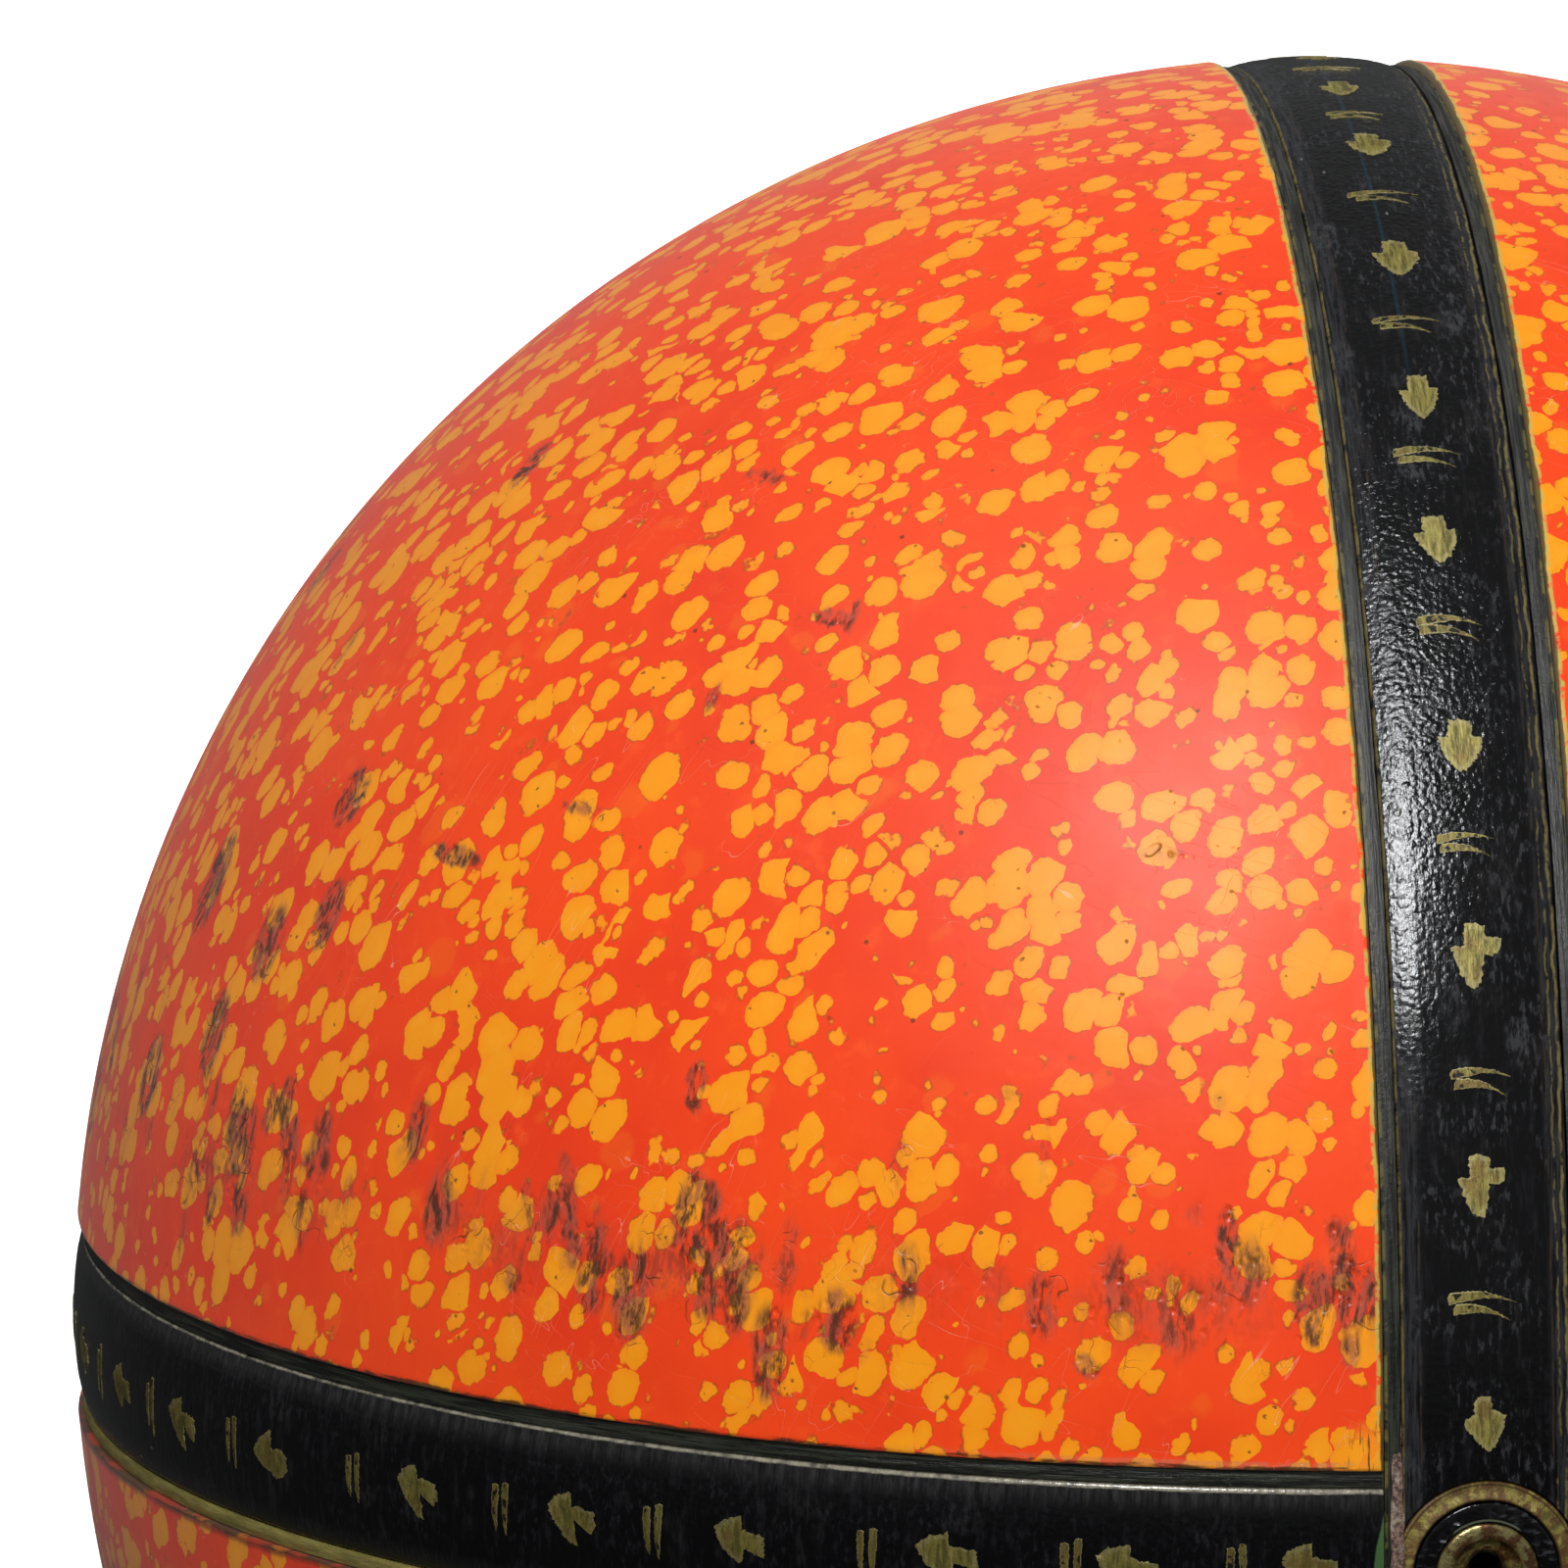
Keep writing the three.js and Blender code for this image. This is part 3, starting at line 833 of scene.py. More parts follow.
def makePanel(sideX, sideZ, name, node):
    shape = panelShape
    rows, columns = shape["rows"], shape["columns"]
    share = np.linspace(0, 1, rows + 1)[:, None]
    across = np.linspace(0, 1, columns + 1)[None, :]
    inset, drop = shape["roundedEdge"][0]
    top = lunePoint(share, across, panelEdge + inset, ballRadius - drop)
    signs = np.array([sideX, 1, sideZ])
    unit = top / np.linalg.norm(top, axis=-1, keepdims=True) * signs

    # dents and smoke
    depth = np.zeros(unit.shape[:2])
    smoke = np.zeros(unit.shape[:2])
    for around, up, length, width, deep, dark in bruiseList(sideX, sideZ):
        a, e = math.radians(around), math.radians(up)
        level = math.cos(e)
        centre = np.array([sideX * math.sin(a) * level, -math.cos(a) * level, sideZ * math.sin(e)])
        upWay = np.array([0, 0, 1.0]) - centre * centre[2]
        upWay /= np.linalg.norm(upWay)
        sideWay = np.cross(upWay, centre)
        u = unit @ sideWay * ballRadius
        v = unit @ upWay * ballRadius
        ellipse = np.sqrt((u / width) ** 2 + (v / length) ** 2)
        ellipse = np.where(unit @ centre > 0.5, ellipse, 9.0)
        depth = np.maximum(depth, deep * np.clip(1 - ellipse ** 2, 0, 1) ** 1.5)
        smoke = np.maximum(smoke, dark * np.clip((1.35 - ellipse) / 0.7, 0, 1))

    # a thin veil of smoke all along the belt
    aboveBand = top[..., 2] - panelEdge
    around = np.arctan2(top[..., 0], -top[..., 1])
    crowd = 0.5 + 0.5 * np.sin(around * 23 + sideX) * np.sin(around * 9.7 + 2 * sideZ)
    fromBelt = (aboveBand - bruises["beltHeight"] + 0.4) / bruises["beltSpread"]
    veil = np.exp(-(fromBelt ** 2)) * bruises["veil"] * (0.25 + 0.9 * crowd)
    smoke = np.maximum(smoke, veil)

    fromEdge = np.minimum(top[..., 0], top[..., 2]) - panelEdge
    settle = np.clip((fromEdge - inset) / 0.5, 0, 1)
    places = unit[::3, ::3] * ballRadius / shape["waveLength"]
    wave = np.array([[noise.noise(Vector(p)) for p in row] for row in places])
    wave = np.repeat(np.repeat(wave, 3, 0), 3, 1)[: rows + 1, : columns + 1]
    for axis in (0, 1):  # smooth the repeated steps
        for _ in range(3):
            wave = (np.roll(wave, 1, axis) + wave + np.roll(wave, -1, axis)) / 3
    height = (wave - 1) * shape["wave"] * settle - depth * settle
    top = top * signs + unit * height[..., None]

    points = [tuple(p) for p in top.reshape(-1, 3)]
    smokeAll = list(smoke.reshape(-1))
    wide = columns + 1
    faces = []
    for i in range(rows):
        for j in range(columns):
            a = i * wide + j
            faces.append((a, a + 1, a + wide + 1, a + wide))

    # the rim of the shell: along one band, then back along the other
    shares = [(i, 0) for i in range(rows + 1)] + [(i, columns) for i in range(rows - 1, 0, -1)]
    loop = [i * wide + j for i, j in shares]
    alongRim = np.array([i / rows for i, j in shares])
    acrossRim = np.array([j / columns for i, j in shares])
    steps = [(gap, ballRadius - low) for gap, low in shape["roundedEdge"][1:]]
    steps += [(0.0, floorRadius + 1.4), (0.0, floorRadius)]
    for gap, radius in steps:
        ring = lunePoint(alongRim, acrossRim, panelEdge + gap, radius) * signs
        first = len(points)
        points += [tuple(p) for p in ring]
        smokeAll += [0.0] * len(ring)
        count = len(loop)
        for k in range(count):
            faces.append((loop[k], loop[(k + 1) % count], first + (k + 1) % count, first + k))
        loop = list(range(first, first + count))

    # underside, with the same rows and fewer columns
    few = shape["underColumns"]
    under = lunePoint(share, np.linspace(0, 1, few + 1)[None, :], panelEdge, floorRadius) * signs
    first = len(points)
    points += [tuple(p) for p in under.reshape(-1, 3)]
    smokeAll += [0.0] * under.shape[0] * under.shape[1]
    for i in range(rows):
        for j in range(few):
            a = first + i * (few + 1) + j
            faces.append((a, a + few + 1, a + few + 2, a + 1))

    piece = makePiece(name, points, faces, spottedLacquer, 40, {"smoke": smokeAll})
    return finishPiece(piece, "spotted_lacquer", node)


levels = {"lower": -1, "upper": 1}
hands = {"left": -1, "right": 1}
ends = {"front": -1, "back": 1}

print("panels")
for level, sideZ in levels.items():
    for hand, sideX in hands.items():
        makePanel(sideX, sideZ, f"spotted_panel_{level}_{hand}", f"panel_{level}_{hand}")


bandShape = {
    "rows": 420,
    "leafRoom": 0.025,  # the gilt leaf stands this much over the crown
    "crownDrop": 0.30,  # how far the middle would stand over the edges if the curve ran on
    "bevelFrom": 2.2,  # outside this the sides fall away faster
    "bevelSlope": 0.12,
    "grooveAt": 2.2,  # a shallow line scored along both sides
    "grooveDeep": 0.025,
    "grooveWide": 0.07,
    "edgeRound": 0.15,
    "wave": 0.010,
    "seam": 0.025,  # half the least gap between the two halves
}

filletShape = {"drop": 0.24, "bow": 0.035, "wave": 0.02}


def crownHeight(across):
    bevel = max(0.0, abs(across) - bandShape["bevelFrom"]) * bandShape["bevelSlope"]
    return crownRadius - bandShape["leafRoom"] - bandShape["crownDrop"] * (across / bandHalf) ** 2 - bevel


def bandHeight(across):
    fromGroove = (abs(across) - bandShape["grooveAt"]) / bandShape["grooveWide"]
    return crownHeight(across) - bandShape["grooveDeep"] * math.exp(-(fromGroove ** 2))


def bandProfile():
    # across the band, radius
    edge, rounding = bandHalf, bandShape["edgeRound"]
    top = []
    for share in np.linspace(-1, 1, 41):
        across = share * (edge - rounding)
        top.append((across, bandHeight(across)))
    left, right = [], []
    for step in (0.35, 0.7, 1.0):
        turn = step * math.pi / 2
        across = edge - rounding + rounding * math.sin(turn)
        radius = bandHeight(edge - rounding) - rounding * (1 - math.cos(turn))
        left.insert(0, (-across, radius))
        right.append((across, radius))
    return left + top + right


def filletProfile(side):
    made = []
    for share in np.linspace(0, 1, 7):
        across = filletInner + (filletOuter - filletInner) * share
        bow = filletShape["bow"] * (1 - (2 * share - 1) ** 2)
        made.append((across, math.sqrt(ballRadius ** 2 - across ** 2) - filletShape["drop"] + bow))
    if side < 0:
        made = [(-across, radius) for across, radius in reversed(made)]
    return made


def makeStrap(name, ring, profile, startOf, side, material, wave):
    # a closed strap: top, two sides, underside and both ends
    rows = bandShape["rows"]
    count = len(profile)
    points = []

    def addRows(radiusOf, ripple):
        first = len(points)
        for i in range(rows + 1):
            for across, radius in profile:
                r = radiusOf(radius)
                start = math.asin(startOf(across) / r)
                angle = start + (math.pi - 2 * start) * i / rows
                if ripple:
                    place = Vector(onRing(ring, angle, across, r)) / 3.0
                    r += (noise.noise(place) - 0.6) * ripple * min(1.0, i / 4, (rows - i) / 4)
                points.append(onRing(ring, side * angle, across, r))
        return first

    top = addRows(lambda r: r, wave)
    low = addRows(lambda r: floorRadius, 0)
    faces = []
    for i in range(rows):
        a, b = i * count, (i + 1) * count
        for j in range(count - 1):
            faces.append((top + a + j, top + a + j + 1, top + b + j + 1, top + b + j))
            faces.append((low + a + j, low + b + j, low + b + j + 1, low + a + j + 1))
        faces.append((top + a, top + b, low + b, low + a))
        j = count - 1
        faces.append((top + a + j, low + a + j, low + b + j, top + b + j))
    for i in (0, rows):
        a = i * count
        for j in range(count - 1):
            faces.append((top + a + j, low + a + j, low + a + j + 1, top + a + j + 1))
    return makePiece(name, points, faces, material)


def besideBoss(across):
    # how far from the boss's middle a vertical strap starts, at each place across it
    return max(bandShape["seam"], math.sqrt(max(0.0, ball["pocket"] ** 2 - across ** 2)))


def atPanel(across):
    # a horizontal strap starts square, at the panels' edge
    return panelEdge


print("bands and fillets")
for level, sideZ in levels.items():
    band = makeStrap(
        f"black_band_vertical_{level}", "vertical", bandProfile(), besideBoss, sideZ,
        blackVertical, bandShape["wave"])
    finishPiece(band, "black_lacquer", f"vertical_band_{level}")
    gilded = level == "lower"
    for hand, sideX in hands.items():
        strip = makeStrap(
            f"fillet_vertical_{level}_{hand}", "vertical", filletProfile(sideX), besideBoss, sideZ,
            filletPaint, filletShape["wave"])
        finishPiece(strip, "fillet_paint", f"vertical_fillet_{level}_{hand}")
        strip = makeStrap(
            f"fillet_horizontal_{level}_{hand}", "horizontal", filletProfile(sideZ), atPanel, -sideX,
            giltStrip if gilded else filletPaint, filletShape["wave"])
        finishPiece(strip, "gilt" if gilded else "fillet_paint", f"horizontal_fillet_{level}_{hand}")
for hand, sideX in hands.items():
    band = makeStrap(
        f"black_band_horizontal_{hand}", "horizontal", bandProfile(), atPanel, -sideX,
        blackHorizontal, bandShape["wave"])
    finishPiece(band, "black_lacquer", f"horizontal_band_{hand}")


turnedShape = {"segments": 128, "smoothAngle": 50}


def makeTurned(name, profile, side, material):
    # profile: distance from the boss's axis, height from the ball's centre
    segments = turnedShape["segments"]
    points, faces, rings = [], [], []
    for radius, height in profile:
        if radius == 0:
            rings.append([len(points)])
            points.append((0.0, side * height, 0.0))
            continue
        rings.append(list(range(len(points), len(points) + segments)))
        for k in range(segments):
            turn = 2 * math.pi * k / segments
            points.append((radius * math.cos(turn), side * height, radius * math.sin(turn)))
    pairs = list(zip(rings, rings[1:]))
    if profile[0][0] and profile[-1][0]:
        pairs.append((rings[-1], rings[0]))
    for a, b in pairs:
        for k in range(segments):
            n = (k + 1) % segments
            if len(a) == 1:
                faces.append((a[0], b[k], b[n]))
            elif len(b) == 1:
                faces.append((a[k], b[0], a[n]))
            else:
                faces.append((a[k], b[k], b[n], a[n]))
    return makePiece(name, points, faces, material, turnedShape["smoothAngle"])


def roundCorner(centre, radius, start, finish, steps=4):
    made = []
    for k in range(steps + 1):
        turn = math.radians(start + (finish - start) * k / steps)
        made.append((centre[0] + radius * math.cos(turn), centre[1] + radius * math.sin(turn)))
    return made


bossShape = {
    "step": 2.5,  # radius of the face, inside the gilt rim
    "stem": 1.6,
    "stemChamfer": 0.15,
    "round": 0.1,  # radius of the face's outer corner
    "dish": 0.055,  # how much the face rises to the eyelet
    "lip": 0.06,  # rounding round the eyelet's seat
    "seatDepth": 0.47,
    "bore": 1.0,
}


def bossProfile():
    shape = bossShape
    step, stem, lip = shape["step"], shape["stem"], shape["lip"]
    seat, bore = eyeletRadius + 0.05, shape["bore"]
    seatFloor = eyeletTop - shape["seatDepth"]
    boreEnd = eyeletEnd - 0.4
    ledge = rimFloor - 0.05
    made = [(0, stemEnd), (stem - shape["stemChamfer"], stemEnd), (stem, stemEnd + shape["stemChamfer"])]
    made += [(stem, floorRadius), (bossRadius, floorRadius), (bossRadius, ledge), (step, ledge)]
    inside = step - shape["round"]
    made += roundCorner((inside, bossFace - shape["round"] - lip), shape["round"], 0, 80)
    for share in (0.25, 0.5, 0.75):
        across = inside + (seat + lip - inside) * share
        made.append((across, bossFace - lip + shape["dish"] * share))
    made += roundCorner((seat + lip, bossFace - lip), lip, 95, 180, 3)
    made += [(seat, seatFloor), (bore, seatFloor), (bore, boreEnd), (0, boreEnd)]
    return made


rimShape = {
    "width": 0.71,
    "slope": 0.16,  # the outer bead lies lower, with the curve of the ball
    "bead": 0.1,
    "groove": 0.035,  # depth of the shallow groove between the two beads
}


def rimProfile():
    shape = rimShape
    inner, outer, bead = bossRadius - shape["width"], bossRadius, shape["bead"]
    low, high = rimTop - shape["slope"], rimTop - 0.03
    made = [(inner, rimFloor), (outer, rimFloor)]
    made += roundCorner((outer - bead, low - bead), bead, 0, 80)
    for share in (0.15, 0.3, 0.45, 0.6, 0.75, 0.9):
        across = outer - bead + (inner - outer + 2 * bead) * share
        made.append((across, low + (high - low) * share - shape["groove"] * math.sin(share * math.pi)))
    made += roundCorner((inner + bead, high - bead), bead, 100, 180)
    return made


eyeletShape = {
    "tube": (0.5, 0.95),  # inside and outside radius
    "flange": 0.42,  # thickness
    "rounding": (0.16, 0.14),  # outer corner, lip of the funnel
    "lip": 1.38,
    "funnel": (1.22, 0.72, 1.1),  # mouth radius, how much it narrows, depth
}


def eyeletProfile():
    shape = eyeletShape
    hole, tube = shape["tube"]
    corner, lipRound = shape["rounding"]
    mouth, narrowing, deep = shape["funnel"]
    under = eyeletTop - shape["flange"]
    made = [(hole, eyeletEnd), (tube, eyeletEnd), (tube, under), (eyeletRadius - 0.04, under)]
    made += roundCorner((eyeletRadius - corner, under + 0.2), corner, -40, 85, 6)
    made += roundCorner((shape["lip"], eyeletTop - lipRound), lipRound, 90, 190, 6)
    for share in (0.3, 0.5, 0.7, 0.85, 1.0):
        across = mouth - narrowing * math.sin(share * math.pi / 2) ** 0.8
        made.append((across, eyeletTop - 0.2 - deep * share))
    return made


print("bosses")
for end, side in ends.items():
    boss = makeTurned(f"black_boss_{end}", bossProfile(), side, blackBoss)
    finishPiece(boss, "black_lacquer", f"boss_{end}")
    rim = makeTurned(f"gilt_rim_{end}", rimProfile(), side, giltRim)
    finishPiece(rim, "gilt", f"boss_{end}_rim")
    eyelet = makeTurned(f"brass_eyelet_{end}", eyeletProfile(), side, agedBrass)
    finishPiece(eyelet, "aged_brass", f"boss_{end}_eyelet")


# outlines in millimetres, +y is the way the arrow points
motifShapes = {
    "arrow": (
        (-0.45, -1.08), (0.0, -1.12), (0.38, -1.06), (0.42, -0.72), (0.44, -0.46), (0.78, -0.44),
        (0.80, -0.12), (0.68, 0.30), (0.46, 0.72), (0.22, 1.02), (0.02, 1.14), (-0.18, 1.00),
        (-0.42, 0.70), (-0.66, 0.30), (-0.80, -0.08), (-0.86, -0.34), (-0.46, -0.30), (-0.46, -0.72),
    ),
    "arrowSide": (
        (-0.40, -1.15), (0.02, -1.20), (0.42, -1.12), (0.44, -0.78), (0.52, -0.74), (1.12, -0.72),
        (1.10, -0.40), (0.98, -0.14), (0.78, -0.10), (0.62, -0.48), (0.46, -0.30), (0.42, 0.20),
        (0.36, 0.70), (0.26, 1.04), (0.02, 1.12), (-0.20, 1.02), (-0.46, 0.62), (-0.72, 0.10),
        (-0.92, -0.30), (-0.62, -0.32), (-0.38, -0.34),
    ),
    "arrowBroad": (
        (-0.38, -0.98), (0.02, -1.04), (0.34, -0.98), (0.40, -0.52), (0.62, -0.44), (0.84, -0.24),
        (0.80, 0.06), (0.56, 0.48), (0.30, 0.86), (0.06, 1.00), (-0.20, 0.84), (-0.50, 0.50),
        (-0.76, 0.14), (-0.90, -0.12), (-0.62, -0.30), (-0.40, -0.46),
    ),
    "leaf": (
        (0.37, 1.15), (0.74, 0.71), (0.87, 0.28), (1.0, -0.12), (0.42, -0.14), (0.35, -0.48),
        (0.24, -1.2), (-0.62, -1.23), (-0.46, -0.79), (-0.35, -0.32), (-0.76, -0.23), (-0.93, -0.05),
        (-0.74, 0.32), (-0.42, 0.71), (-0.07, 0.95),
    ),
    "leafRound": (
        (0.28, 1.33), (0.69, 0.84), (1.01, 0.08), (0.97, -0.08), (0.28, -0.08), (0.28, -0.38),
        (0.32, -0.84), (0.0, -1.22), (-0.49, -1.26), (-0.83, -0.84), (-0.90, -0.38), (-0.76, -0.08),
        (-0.56, 0.38), (-0.35, 0.84), (-0.07, 1.22),
    ),
    "leafSplit": (
        (0.30, 1.20), (0.62, 0.92), (0.86, 0.42), (0.92, 0.10), (0.36, 0.02), (0.44, -0.30),
        (0.30, -1.06), (-0.34, -1.22), (-0.60, -1.00), (-0.20, -0.40), (-0.10, -0.10), (-0.60, -0.20),
        (-1.14, -0.30), (-1.12, -0.02), (-0.70, 0.50), (-0.20, 0.96),
    ),
    "bar": (
        (-0.98, -0.15), (-1.02, 0.0), (-0.96, 0.14), (-0.4, 0.16), (0.3, 0.13), (0.8, 0.03),
        (1.06, -0.08), (0.8, -0.12), (0.3, -0.12), (-0.4, -0.16),
    ),
    "stroke": (
        (-1.12, -0.17), (-1.14, 0.02), (-1.05, 0.16), (-0.5, 0.20), (0.1, 0.14), (0.7, -0.02),
        (1.25, -0.26), (0.7, -0.11), (0.1, -0.05), (-0.5, -0.10),
    ),
}

motifPlaces = {
    "verticalArrows": (6.5, 16.7, 26.8, 36.6, 47.2, 55.6, 65.5, 76.5, 85.0),
    "verticalStrokes": (11.7, 21.4, 32.0, 42.6, 52.0, 60.6, 71.0, 80.5, 90),
    "horizontalArrows": (7.7, 15.6, 23.6, 33.3, 41.9, 50.9, 61.4, 69.7, 77.7, 86.0),
    "horizontalStrokes": (10.8, 18.0, 27.2, 37.6, 45.9, 55.2, 64.8, 73.5, 81.8, 90),
    "lift": 0.022,
    "outlineStep": 0.085,
    "smoothAngle": 60,
}


def densify(outline, gap):
    made = []
    for a, b in zip(outline, outline[1:] + outline[:1]):
        steps = max(1, round(math.dist(a, b) / gap))
        for k in range(steps):
            made.append((a[0] + (b[0] - a[0]) * k / steps, a[1] + (b[1] - a[1]) * k / steps))
    return made


class MotifSheet:
    # gathers thin gilded shapes that lie on one band
    def __init__(self, ring):
        self.ring = ring
        self.points = []
        self.faces = []
        self.edge = []
        self.thin = []

    def addShape(self, outline, angle, across, turn, scale, draw, ragged=0.03, thin=0.0):
        rim = densify(outline, motifPlaces["outlineStep"])
        cosTurn, sinTurn = math.cos(turn), math.sin(turn)
        placed = []
        for x, y in rim:
            x, y = x * scale[0] + draw.gauss(0, ragged), y * scale[1] + draw.gauss(0, ragged)
            placed.append((x * cosTurn - y * sinTurn, x * sinTurn + y * cosTurn))
        spine = [self.inward(placed, k, thin) for k in range(len(placed))]
        # share of the way in from the outline, height, and how much of an edge it is
        steps = ((0.0, -0.6, 1.0), (0.0, 0.7, 1.0), (0.16, 1.0, 0.8), (0.5, 0.9, 0.0))
        first = len(self.points)
        count = len(placed)
        for share, rise, edge in steps:
            for (x, y), (mx, my) in zip(placed, spine):
                self.put(x + (mx - x) * share, y + (my - y) * share, angle, across, rise, edge, thin)
        last = first + (len(steps) - 1) * count
        for a in range(first, last, count):
            b = a + count
            for k in range(count):
                n = (k + 1) % count
                self.faces.append((a + k, a + n, b + n, b + k))
        self.faces.append(tuple(last + k for k in range(count)))
        self.faces.append(tuple(first + k for k in reversed(range(count))))

    def inward(self, placed, k, thin):
        # where the outline would shrink to: the middle, or for a stroke its own centre line
        x, y = placed[k]
        mx, my = sum(p[0] for p in placed) / len(placed), sum(p[1] for p in placed) / len(placed)
        if not thin:
            return mx, my
        lengthways = max(placed, key=lambda p: math.dist(p, (mx, my)))
        reach = math.dist(lengthways, (mx, my))
        ux, uy = (lengthways[0] - mx) / reach, (lengthways[1] - my) / reach
        along = (x - mx) * ux + (y - my) * uy
        near = [p for p in placed if abs((p[0] - mx) * ux + (p[1] - my) * uy - along) < 0.12]
        cx, cy = sum(p[0] for p in near) / len(near), sum(p[1] for p in near) / len(near)
        return cx * 0.97 + mx * 0.03, cy * 0.97 + my * 0.03

    def put(self, x, y, angle, across, rise, edge, thin):
        side = across + x
        radius = crownHeight(side) + motifPlaces["lift"] * rise
        self.points.append(onRing(self.ring, angle + y / ballRadius, side, radius))
        self.edge.append(edge)
        self.thin.append(thin)

    def finish(self, name):
        layers = {"edge": self.edge, "thin": self.thin}
        angle = motifPlaces["smoothAngle"]
        piece = makePiece(name, self.points, self.faces, giltLeaf[self.ring], angle, layers)
        return finishPiece(piece, "gilt")


def addStrokes(sheet, angle, across, lead, draw, ring):
    # a pair of brush strokes: tapering and closing towards one end, or upright bars side by side
    for k, offset in ((0, -0.24), (1, 0.24)):
        length = draw.uniform(0.86, 1.06) * (1.0 if k == 0 else 0.84)
        if ring == "vertical":
            lean = -lead * (k - 0.5) * draw.uniform(0.10, 0.22)
            size = (length, draw.uniform(0.95, 1.25))
            at = angle - lead * offset / ballRadius
            sheet.addShape(motifShapes["stroke"], at, across, lean, size, draw, 0.014, 1.0)
        else:
            upright = [(x * -1.0, y) for x, y in motifShapes["bar"]]
            size = (length, draw.uniform(0.8, 1.05))
            lean = draw.uniform(-0.04, 0.04)
            at = angle + offset * 0.95 / ballRadius
            sheet.addShape(upright, at, across, lean, size, draw, 0.014, 1.0)


print("gilt motifs")
for level, sideZ in levels.items():
    draw = random.Random(f"vertical motifs {level}")
    sheet = MotifSheet("vertical")
    for end, side in ends.items():
        for place in motifPlaces["verticalArrows"]:
            angle = math.radians(place if side < 0 else 180 - place) * sideZ
            towardBoss = -sideZ if side < 0 else sideZ
            kind = draw.choice(("arrow", "arrow", "arrowBroad", "arrowSide"))
            outline = [(x, y * towardBoss) for x, y in motifShapes[kind]]
            scale = (draw.uniform(0.82, 1.0), draw.uniform(0.88, 1.02))
            sheet.addShape(outline, angle, draw.uniform(-0.22, 0.05), draw.uniform(-0.08, 0.08), scale, draw)
        for place in motifPlaces["verticalStrokes"]:
            if side > 0 and place == 90:  # halfway round, made once
                continue
            angle = math.radians(place if side < 0 else 180 - place) * sideZ
            addStrokes(sheet, angle, draw.uniform(-0.25, 0.0), sideZ, draw, "vertical")
    sheet.finish(f"gilt_motifs_vertical_{level}")

for hand, sideX in hands.items():
    draw = random.Random(f"horizontal motifs {hand}")
    sheet = MotifSheet("horizontal")
    for end, side in ends.items():
        for place in motifPlaces["horizontalArrows"]:
            angle = -sideX * math.radians(place if side < 0 else 180 - place)
            away = -sideX if side < 0 else sideX
            kind = draw.choice(("leaf", "leafRound", "leafSplit"))
            outline = [(x, y * away) for x, y in motifShapes[kind]]
            scale = (draw.uniform(0.80, 0.94), draw.uniform(0.82, 0.95))
            across = 0.25 - 0.55 * place / 80 + draw.uniform(-0.1, 0.1)
            sheet.addShape(outline, angle, across, draw.uniform(-0.08, 0.08), scale, draw)
        for place in motifPlaces["horizontalStrokes"]:
            if side > 0 and place == 90:
                continue
            angle = -sideX * math.radians(place if side < 0 else 180 - place)
            addStrokes(sheet, angle, 0.20 - 0.50 * place / 80, 1, draw, "horizontal")
    sheet.finish(f"gilt_motifs_horizontal_{hand}")


crustShape = {
    "low": -12.0,  # degrees round the vertical band, from the boss
    "high": 9.0,
    "inner": 2.88,
    "outer": 3.36,
    "rows": 190,
    "columns": 9,
    "rise": 0.09,
    "bossRise": 0.26,  # more filler was left beside the boss
    "bossReach": 5.5,
}


def makeCrossingCrust(end, side):
    # dried filler left along the vertical band where the bands cross
    shape = crustShape
    points, faces = [], []
    rows, columns = shape["rows"], shape["columns"]
    for layer in (0, 1):
        for i in range(rows + 1):
            share = i / rows
            angle = math.radians(shape["low"] + (shape["high"] - shape["low"]) * share)
            taper = min(1.0, (1 - share) * 2.6, share * 7)
            for j in range(columns + 1):
                middle = (shape["inner"] + shape["outer"]) / 2
                half = (shape["outer"] - shape["inner"]) / 2 * (0.35 + 0.65 * taper)
                wobble = noise.noise(Vector((angle * 60, j * 0.4, 3.0 + side))) * 0.07
                across = middle + half * (2 * j / columns - 1) + wobble
                edge = 1 - abs(2 * j / columns - 1)
                lump = 0.6 + 0.8 * noise.noise(Vector((angle * 150, across * 4, side)))
                nearBoss = max(0.0, 1.0 - abs(math.degrees(angle)) / shape["bossReach"]) ** 0.5
                radius = math.sqrt(ballRadius ** 2 - across ** 2) - 0.34
                if layer:
                    lumpy = shape["rise"] * lump * min(1, edge * 3) * taper
                    radius += 0.10 + shape["bossRise"] * nearBoss + lumpy - 0.12 * (1 - taper)
                points.append((-across, side * radius * math.cos(angle), radius * math.sin(angle)))
    wide, total = columns + 1, (rows + 1) * (columns + 1)
    for i in range(rows):
        for j in range(columns):
            a = i * wide + j
            faces.append((a, a + wide, a + wide + 1, a + 1))
            faces.append((total + a, total + a + 1, total + a + wide + 1, total + a + wide))
        for j in (0, columns):
            a = i * wide + j
            faces.append((a, a + wide, total + a + wide, total + a))
    for i in (0, rows):
        for j in range(columns):
            a = i * wide + j
            faces.append((a, a + 1, total + a + 1, total + a))
    crust = makePiece(f"crossing_crust_{end}", points, faces, crustFinish, 60)
    return finishPiece(crust, "fillet_paint")


print("crust")
for end, side in ends.items():
    makeCrossingCrust(end, side)


view = {
    "azimuth": -7.28,  # from straight in front, negative is to the left
    "elevation": 11.73,
    "roll": -0.49,
    "distance": 15.0,  # in ball radii
    "lens": 428.8,
    "ballAt": (0.3424, -0.3314),  # middle of the ball, from the middle of the frame, in frame widths
}


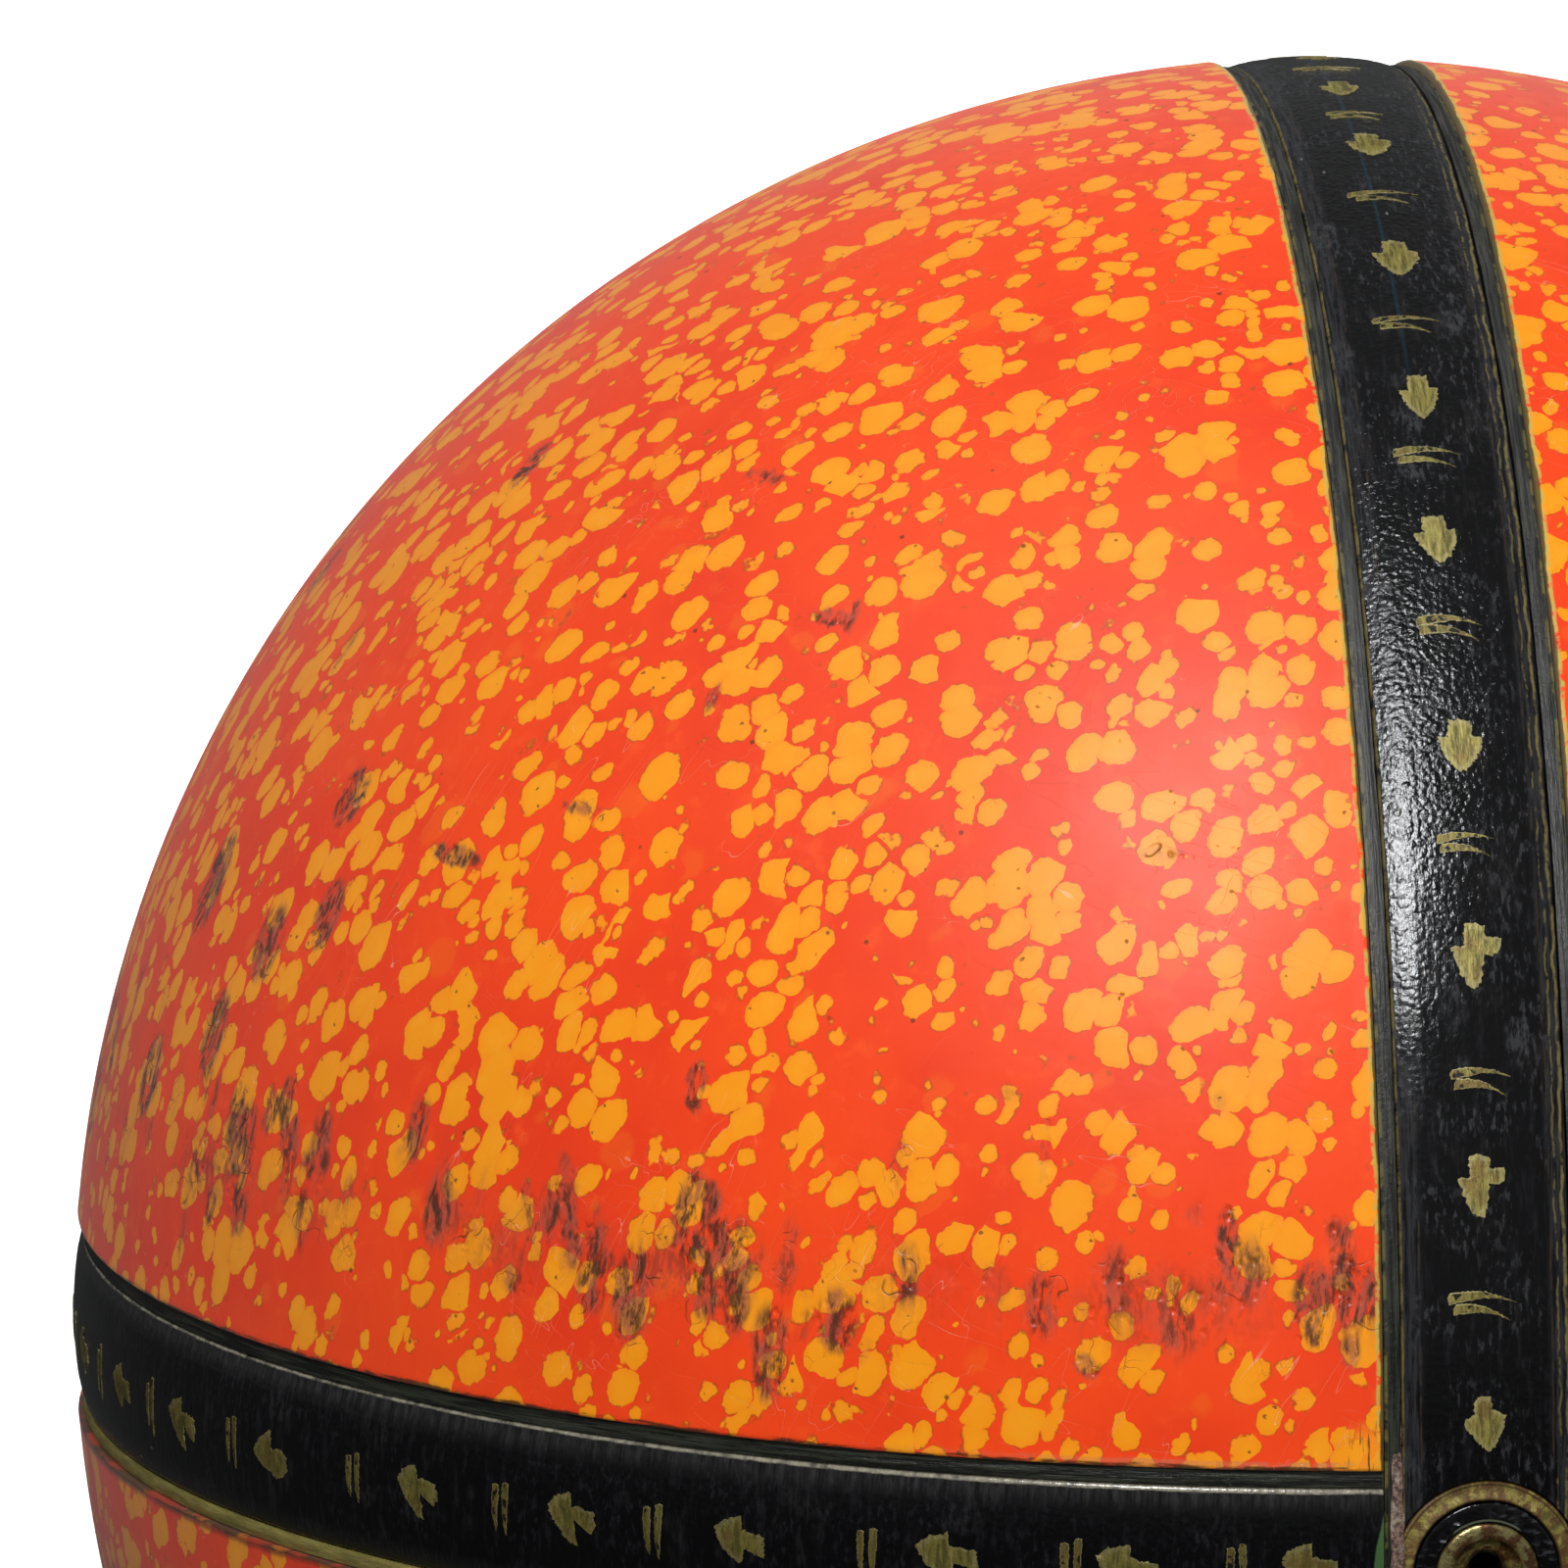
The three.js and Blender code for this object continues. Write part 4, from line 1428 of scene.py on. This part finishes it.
def makeCamera():
    a, e = math.radians(view["azimuth"]), math.radians(view["elevation"])
    back = Vector((math.sin(a) * math.cos(e), -math.cos(a) * math.cos(e), math.sin(e)))
    right = Vector((math.cos(a), math.sin(a), 0.0))
    up = back.cross(right)
    basis = Matrix((right, up, back)).transposed()
    basis = basis @ Matrix.Rotation(math.radians(-view["roll"]), 3, "Z")
    data = bpy.data.cameras.new("camera")
    data.lens = view["lens"]
    data.sensor_width = 36.0
    reach = data.lens / data.sensor_width
    toBall = Vector((view["ballAt"][0] / reach, view["ballAt"][1] / reach, -1.0)).normalized()
    aim = toBall.rotation_difference(Vector((0, 0, -1))).to_matrix()
    camera = bpy.data.objects.new("camera", data)
    place = Matrix.Translation(back * view["distance"] * ballRadius * mm)
    camera.matrix_world = place @ (basis @ aim).to_4x4()
    data.clip_start, data.clip_end = 0.01, 20.0
    scene.collection.objects.link(camera)
    scene.camera = camera


lighting = {
    "gleam": {
        "way": (-0.262, -0.572, 0.777), "distance": 0.60, "size": (0.10, 0.27),
        "glow": 30.0, "colour": (0.96, 0.98, 1.0), "seenIn": "glossy",
    },
    "side": {
        "way": (-0.284, -0.459, 0.842), "distance": 0.60, "size": (0.26, 0.36),
        "glow": 3.0, "colour": (0.97, 0.985, 1.0), "seenIn": "diffuse",
    },
    "front": {
        "way": (0.03, -0.92, 0.39), "distance": 0.9, "size": (0.7, 0.7),
        "glow": 3.7, "colour": (1.0, 0.99, 0.97), "seenIn": "diffuse",
    },
    "top": {
        "way": (-0.40, -0.10, 0.91), "distance": 0.9, "size": (0.7, 0.7),
        "glow": 1.9, "colour": (1.0, 1.0, 1.0), "seenIn": "diffuse",
    },
    "back": {
        "way": (0.30, 0.90, 0.30), "distance": 0.9, "size": (0.7, 0.7),
        "glow": 4.4, "colour": (1.0, 0.99, 0.97), "seenIn": "diffuse",
    },
}


def makeLight(name, light):
    data = bpy.data.lights.new(name, "AREA")
    data.shape = "RECTANGLE"
    data.size, data.size_y = light["size"]
    data.energy = light["glow"] * math.pi * data.size * data.size_y
    data.color = light["colour"]
    lamp = bpy.data.objects.new(name, data)
    way = Vector(light["way"]).normalized()
    lamp.location = way * light["distance"]
    lamp.rotation_mode = "QUATERNION"
    lamp.rotation_quaternion = way.to_track_quat("Z", "Y")
    lamp.visible_camera = False
    lamp.visible_glossy = light["seenIn"] == "glossy"
    lamp.visible_diffuse = light["seenIn"] == "diffuse"
    scene.collection.objects.link(lamp)


surroundings = {
    "backdrop": 1.0,
    "tint": (0.97, 0.985, 1.0),
    # height, from straight down to straight up, and brightness
    "stops": ((0.0, 0.028), (0.46, 0.040), (0.58, 0.12), (0.80, 0.15), (1.0, 0.16)),
}


def makeSurroundings():
    # white paper seen directly, a bright ceiling and a dark table in the reflections
    world = bpy.data.worlds.new("studio")
    world.use_nodes = True
    tree = world.node_tree
    tree.nodes.clear()

    def add(kind):
        return tree.nodes.new("ShaderNode" + kind)

    out, direct, indirect = add("OutputWorld"), add("Background"), add("Background")
    coords, split, ramp, height = add("TexCoord"), add("SeparateXYZ"), add("ValToRGB"), add("MapRange")
    path, blend = add("LightPath"), add("MixShader")
    direct.inputs[0].default_value = (*[surroundings["backdrop"]] * 3, 1.0)
    height.inputs[1].default_value = -1.0
    height.inputs[2].default_value = 1.0
    stops = surroundings["stops"]
    while len(ramp.color_ramp.elements) < len(stops):
        ramp.color_ramp.elements.new(0.5)
    for element, (at, bright) in zip(ramp.color_ramp.elements, stops):
        element.position = at
        element.color = (*[bright * c for c in surroundings["tint"]], 1.0)
    for source, target in (
        (coords.outputs["Generated"], split.inputs[0]),
        (split.outputs[2], height.inputs[0]),
        (height.outputs[0], ramp.inputs[0]),
        (ramp.outputs[0], indirect.inputs[0]),
        (path.outputs["Is Camera Ray"], blend.inputs[0]),
        (indirect.outputs[0], blend.inputs[1]),
        (direct.outputs[0], blend.inputs[2]),
        (blend.outputs[0], out.inputs[0]),
    ):
        tree.links.new(source, target)
    scene.world = world


paperLook = {
    "low": (0.93, 0.93, 0.93),
    "high": (0.97, 0.97, 0.97),
    "glow": (1.0, 1.0, 1.0, 1.0),
    "shader": {"Specular IOR Level": 0.1, "Emission Strength": 0.42},
    "radius": 7.0,  # metres
    "rings": 24,
    "segments": 96,
}


def makeFloor():
    # a round sheet of white paper under the ball
    look = paperLook
    rings, segments, radius = look["rings"], look["segments"], look["radius"]
    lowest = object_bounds()[0].z
    points, faces = [(0.0, 0.0, lowest)], []
    for i in range(1, rings + 1):
        r = radius * (i / rings) ** 2
        for k in range(segments):
            turn = 2 * math.pi * k / segments
            points.append((r * math.cos(turn), r * math.sin(turn), lowest))
    for k in range(segments):
        faces.append((0, 1 + k, 1 + (k + 1) % segments))
    for i in range(rings - 1):
        for k in range(segments):
            a, n = 1 + i * segments, (k + 1) % segments
            faces.append((a + k, a + segments + k, a + segments + n, a + n))
    paper = Finish("white_paper")
    fibre = paper.noise(paper.place, 0.8, 3.0)
    white = paper.mix(fibre, look["low"], look["high"])
    paper.done(white, 0.9, paper.bump(fibre, 0.05, 0.3), look["shader"])
    paper.shader.inputs["Emission Color"].default_value = look["glow"]
    mesh = bpy.data.meshes.new("floor")
    mesh.from_pydata(points, [], faces)
    mesh.materials.append(paper.material)
    floor = bpy.data.objects.new("floor", mesh)
    floor.visible_glossy = False
    floor.visible_diffuse = False
    scene.collection.objects.link(floor)


print("camera, light and floor")
makeCamera()
for name, light in lighting.items():
    makeLight(name, light)
makeSurroundings()
makeFloor()
scene.view_settings.view_transform = "Standard"
